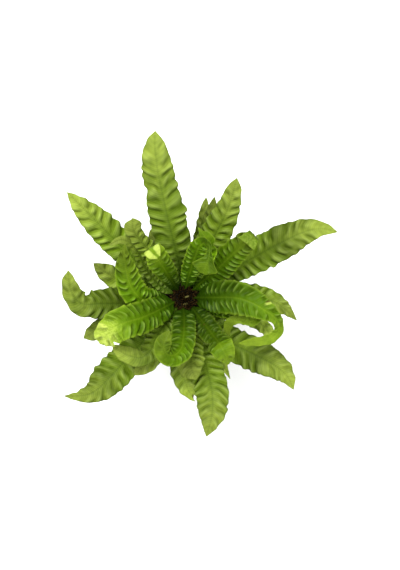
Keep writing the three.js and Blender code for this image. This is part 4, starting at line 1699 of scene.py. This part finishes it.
@dataclass(frozen=True)
class Crozier:
    """A young frond that still stands rolled up in the middle of the rhizome."""

    name: str
    foot: Point
    azimuth: float
    tube_radius: float = 1.7
    hook_radius: float = 2.7
    tightening: float = 0.62
    thinning: float = 0.55
    stalk: float = 9.0
    turns: float = 1.25
    sides: int = 16
    stalk_steps: int = 10
    roll_steps: int = 44
    knob_height: float = 0.06
    knob_rate: float = 60.0

    def build(self, material: bpy.types.Material) -> None:
        """Makes the crozier: a knobbly tube along a straight stalk and then a spiral whose radius
        shrinks as it winds, thinning towards its end.

        Args:
            material: its finish.
        """
        azimuth = math.radians(self.azimuth)
        out = np.array([math.cos(azimuth), math.sin(azimuth), 0])
        up = np.array([0, 0, 1.0])
        rise = np.linspace(0, 1, self.stalk_steps)[:-1, None] * self.stalk * up
        angle = np.linspace(0, self.turns * 2 * np.pi, self.roll_steps)[:, None]
        roll = self.hook_radius * (1 - self.tightening * angle / angle[-1])
        centre = self.hook_radius * out + self.stalk * up
        spiral = centre - roll * np.cos(angle) * out + roll * np.sin(angle) * up
        path = np.array(self.foot) + np.vstack([rise, spiral])
        share = np.linspace(0, 1, len(path))
        knobs = 1 + self.knob_height * np.sin(self.knob_rate * share)
        radii = self.tube_radius * (1 - self.thinning * share) * knobs
        piece = tube(path, radii, self.sides).to_object(f"{self.name}_roll", material)
        hand_over(piece, [self.name])


@dataclass(frozen=True)
class Pot:
    """The nursery pot: a tapered wall under a stepped rim band, with a ring of drain holes."""

    height: float = 112.0
    rim_radius: float = 66.0
    rim_band: float = 17.0
    rim_step: float = 2.6
    rim_draft: float = 0.8
    rim_slope: float = 2.0
    lip: float = 1.6
    foot_radius: float = 47.0
    wall: float = 1.8
    channel: tuple[float, float] = (22.0, 36.0)
    channel_depth: float = 3.0
    channel_slope: float = 2.0
    corner: float = 1.2
    span: float = 6.0
    sides: int = 144
    drains: int = 8
    drain_radius: float = 3.6
    drain_circle: float = 29.0
    drain_sides: int = 28
    drain_bevel: float = 0.01
    drill_ends: tuple[float, float] = (-2.0, 8.0)
    sharp_from: float = 40.0

    def radius(self, height: float) -> float:
        """The outer radius at a height, without the rim band."""
        top = self.rim_radius - self.rim_step
        return self.foot_radius + (top - self.foot_radius) * height / self.height

    def profile(self) -> np.ndarray:
        """The section of the pot, with rounded corners.

        Returns:
            Radius and height of each point, from the axis below to the axis on the floor inside.
        """
        shoulder = self.height - self.rim_band
        below = shoulder - self.rim_slope
        floor = self.channel_depth + self.wall
        inner, outer = self.channel
        return rounded([
            (0, 0), (inner, 0), (inner + self.channel_slope, self.channel_depth),
            (outer - self.channel_slope, self.channel_depth), (outer, 0), (self.foot_radius, 0),
            (self.radius(below), below), (self.rim_radius - self.rim_draft, shoulder),
            (self.rim_radius, self.height), (self.rim_radius - self.lip - self.wall, self.height),
            (self.radius(shoulder) - self.wall, shoulder), (self.radius(floor) - self.wall, floor),
            (0, floor)], self.corner)

    def drill(self) -> Surface:
        """The drill for the drain holes.

        Returns:
            A ring of upright round bars.
        """
        low, high = self.drill_ends
        corners = [(0, low), (self.drain_radius, low), (self.drain_radius, high), (0, high)]
        bar = rounded(corners, self.drain_bevel, 1)
        bits = []
        for angle in np.arange(self.drains) * 2 * np.pi / self.drains:
            bit = turned(bar, self.drain_sides)
            bit.points = bit.points + [
                self.drain_circle * np.cos(angle), self.drain_circle * np.sin(angle), 0]
            bits.append(bit)
        return merged(bits)

    def build(self) -> None:
        """Turns the profile, cuts the drain holes and hands the pot over."""
        material = PlasticFinish().material()
        skin = turned(subdivided(self.profile(), self.span), self.sides)
        piece = skin.to_object("nursery_pot", material)
        cutter = self.drill().to_object("drain_drill", material)
        cut = piece.modifiers.new("drains", "BOOLEAN")
        cut.operation, cut.solver, cut.object = "DIFFERENCE", "EXACT", cutter
        whole = bpy.data.meshes.new_from_object(
            piece.evaluated_get(bpy.context.evaluated_depsgraph_get()))
        piece.modifiers.clear()
        piece.data = whole
        whole.set_sharp_from_angle(angle=math.radians(self.sharp_from))
        bpy.data.objects.remove(cutter)
        hand_over(piece, ["pot"])


@dataclass(frozen=True)
class PottingMix:
    """The potting mix: a lumpy top strewn with granules of bark and grit."""

    floor: float = 5.1
    top: float = 101.0
    waist: float = 84.0
    gap: float = 0.6
    span: float = 2.0
    sides: int = 96
    lump_height: float = 1.6
    ripple_height: float = 0.6
    ripple_size: float = 5.0
    granules: int = 900
    granule_rings: int = 5
    granule_sides: int = 7
    granule_dents: float = 0.18
    granule_lift: float = 0.3
    granule_clearance: float = 3.0

    def lump(self, x: np.ndarray, y: np.ndarray) -> np.ndarray:
        """The height of the lumps: a sine across times a cosine along, and half a slantwise sine."""
        broad = np.sin(0.21 * x + 1.3) * np.cos(0.17 * y)
        return self.lump_height * (broad + np.sin(0.37 * (x - y)) / 2)

    def bed(self, pot: Pot) -> Surface:
        """The bed that fills the pot: a turned profile whose top is lifted by lumps and ripples.

        Args:
            pot: the pot that holds it.

        Returns:
            The bed's skin.
        """
        low = pot.radius(self.floor) - pot.wall - self.gap
        high = pot.radius(self.waist) - pot.wall - self.gap
        profile = subdivided(np.array([
            (0, self.floor), (low, self.floor), (high, self.waist), (high, self.top),
            (0, self.top)], float), self.span)
        skin = turned(profile, self.sides)
        x, y, z = skin.points.T
        lumps = self.lump(x, y) + self.ripple_height * ripple(x, y, 3, self.ripple_size)
        skin.points[:, 2] = np.where(z > self.top - 0.5, self.top + lumps, z)
        skin.values = {"tone": np.full(len(skin.points), 0.35)}
        return skin

    def granule_skins(self, reach: float) -> Surface:
        """All the granules at once. A granule is a ball of a few rings, stretched at random along
        three axes, dented by a sine of its direction, turned at random, and set on the bed.

        Args:
            reach: how far from the axis they lie.

        Returns:
            The granules as one mesh in the making.
        """
        random = np.random.default_rng(7)
        count, rings, sides = self.granules, self.granule_rings, self.granule_sides
        polar = np.pi * (np.arange(rings) + 0.5) / rings
        round_ = -np.arange(sides) * 2 * np.pi / sides
        ball = np.stack([
            np.sin(polar)[:, None] * np.cos(round_), np.sin(polar)[:, None] * np.sin(round_),
            -np.cos(polar)[:, None] * np.ones(sides)], axis=-1).reshape(-1, 3)
        size = random.lognormal(0.35, 0.4, (count, 1)) * random.uniform(0.5, 1.4, (count, 3))
        waves = np.sin(4 * ball[None] @ random.normal(0, 1, (count, 3, 1)))
        points = ball[None] * size[:, None] * (1 + self.granule_dents * waves)
        turn = np.linalg.qr(random.normal(0, 1, (count, 3, 3)))[0]
        turn = turn * np.sign(np.linalg.det(turn))[:, None, None]
        points = points @ turn
        far = reach * np.sqrt(random.uniform(0.06, 1, count))
        azimuth = random.uniform(0, 2 * np.pi, count)
        x, y = far * np.cos(azimuth), far * np.sin(azimuth)
        height = self.top + self.lump(x, y) + self.granule_lift
        points = points + np.stack([x, y, height], axis=1)[:, None]
        tone = np.repeat(random.uniform(0, 1, count), rings * sides)
        return strewn(points.reshape(count, rings, sides, 3), {"tone": tone})

    def build(self, pot: Pot) -> None:
        """Makes the bed with its granules and hands it over.

        Args:
            pot: the pot that holds it.
        """
        reach = pot.radius(self.waist) - pot.wall - self.granule_clearance
        skin = merged([self.bed(pot), self.granule_skins(reach)])
        piece = skin.to_object("potting_mix_bed", MixFinish().material())
        hand_over(piece, ["soil"])


# Studio


@dataclass(frozen=True)
class Softbox:
    """A square light: its place and its width in millimetres, and its power in watts."""

    name: str
    place: Point
    size: float
    watts: float

    def hang(self, aim: Point) -> None:
        """Hangs the light at its place and turns it towards a point.

        Args:
            aim: the point, in millimetres.
        """
        light = bpy.data.lights.new(self.name, "AREA")
        light.shape, light.size, light.energy = "SQUARE", self.size * MM, self.watts
        box = bpy.data.objects.new(self.name, light)
        box.location = np.array(self.place) * MM
        way = Vector((np.array(aim) - self.place) * MM)
        box.rotation_mode = "QUATERNION"
        box.rotation_quaternion = way.to_track_quat("-Z", "Y")
        bpy.context.scene.collection.objects.link(box)


@dataclass(frozen=True)
class Studio:
    """A pale floor, soft lights and the camera, which looks straight down on the rosette."""

    camera_height: float = 1715.0
    field_height: float = 760.0
    field_distance: float = 1500.0
    sensor: float = 36.0
    picture: tuple[int, int] = (400, 570)
    axis_pixel: tuple[float, float] = (184.0, 298.0)
    floor_reach: float = 4000.0
    sky: Colour = (1.0, 1.0, 1.0)
    sky_strength: float = 0.62
    aim: Point = (0.0, 0.0, 150.0)
    softboxes: tuple[Softbox, ...] = (
        Softbox("key_softbox", (-700.0, 1000.0, 2100.0), 1500.0, 106.0),
        Softbox("fill_softbox", (1100.0, -800.0, 2100.0), 1900.0, 46.0),
    )

    def place_camera(self) -> None:
        """The camera stands over the pot's axis, which its shift puts at its place in the picture."""
        lens = bpy.data.cameras.new("overhead_camera")
        lens.sensor_width = self.sensor
        lens.lens = self.sensor * self.field_distance / self.field_height
        width, height = self.picture
        lens.shift_x = (width / 2 - self.axis_pixel[0]) / height
        lens.shift_y = (self.axis_pixel[1] - height / 2) / height
        camera = bpy.data.objects.new("overhead_camera", lens)
        camera.location = (0, 0, self.camera_height * MM)
        bpy.context.scene.collection.objects.link(camera)
        bpy.context.scene.camera = camera

    def lay_floor(self) -> None:
        """A flat sheet of pale paper under the pot."""
        corners = np.array([(-1, -1, 0), (1, -1, 0), (1, 1, 0), (-1, 1, 0)], float)
        sheet = Surface(corners * self.floor_reach, [np.array([[0, 1, 2, 3]])])
        sheet.to_object("studio_floor", PaperFinish().material())

    def light_sky(self) -> None:
        """An even white sky, which fills the shadows."""
        world = bpy.data.worlds.new("studio_sky")
        world.use_nodes = True
        background = world.node_tree.nodes["Background"]
        background.inputs["Color"].default_value = (*self.sky, 1)
        background.inputs["Strength"].default_value = self.sky_strength
        bpy.context.scene.world = world

    def build(self) -> None:
        """Sets up camera, floor and lights, and shows colours as they are, without a film curve."""
        self.place_camera()
        self.lay_floor()
        self.light_sky()
        for softbox in self.softboxes:
            softbox.hang(self.aim)
        bpy.context.scene.view_settings.view_transform = "Standard"


# The whole fern

CROZIERS = (
    Crozier("crozier_middle", (2, 1, 120), 20),
    Crozier("crozier_south", (4, -8, 117), 190),
)


def main() -> None:
    """Builds the studio, the pot with its mix, the rhizome, the croziers and the fronds."""
    logging.basicConfig(level=logging.INFO, format="%(name)s: %(message)s")
    Studio().build()
    pot = Pot()
    pot.build()
    PottingMix().build(pot)
    Rhizome().build()
    fuzz = FuzzFinish().material()
    for crozier in CROZIERS:
        crozier.build(fuzz)
    leaves = {age: finish.material() for age, finish in FINISHES.items()}
    for index, frond in enumerate(FRONDS):
        frond.build(index, leaves[frond.age])


if __name__ == "__main__":
    main()
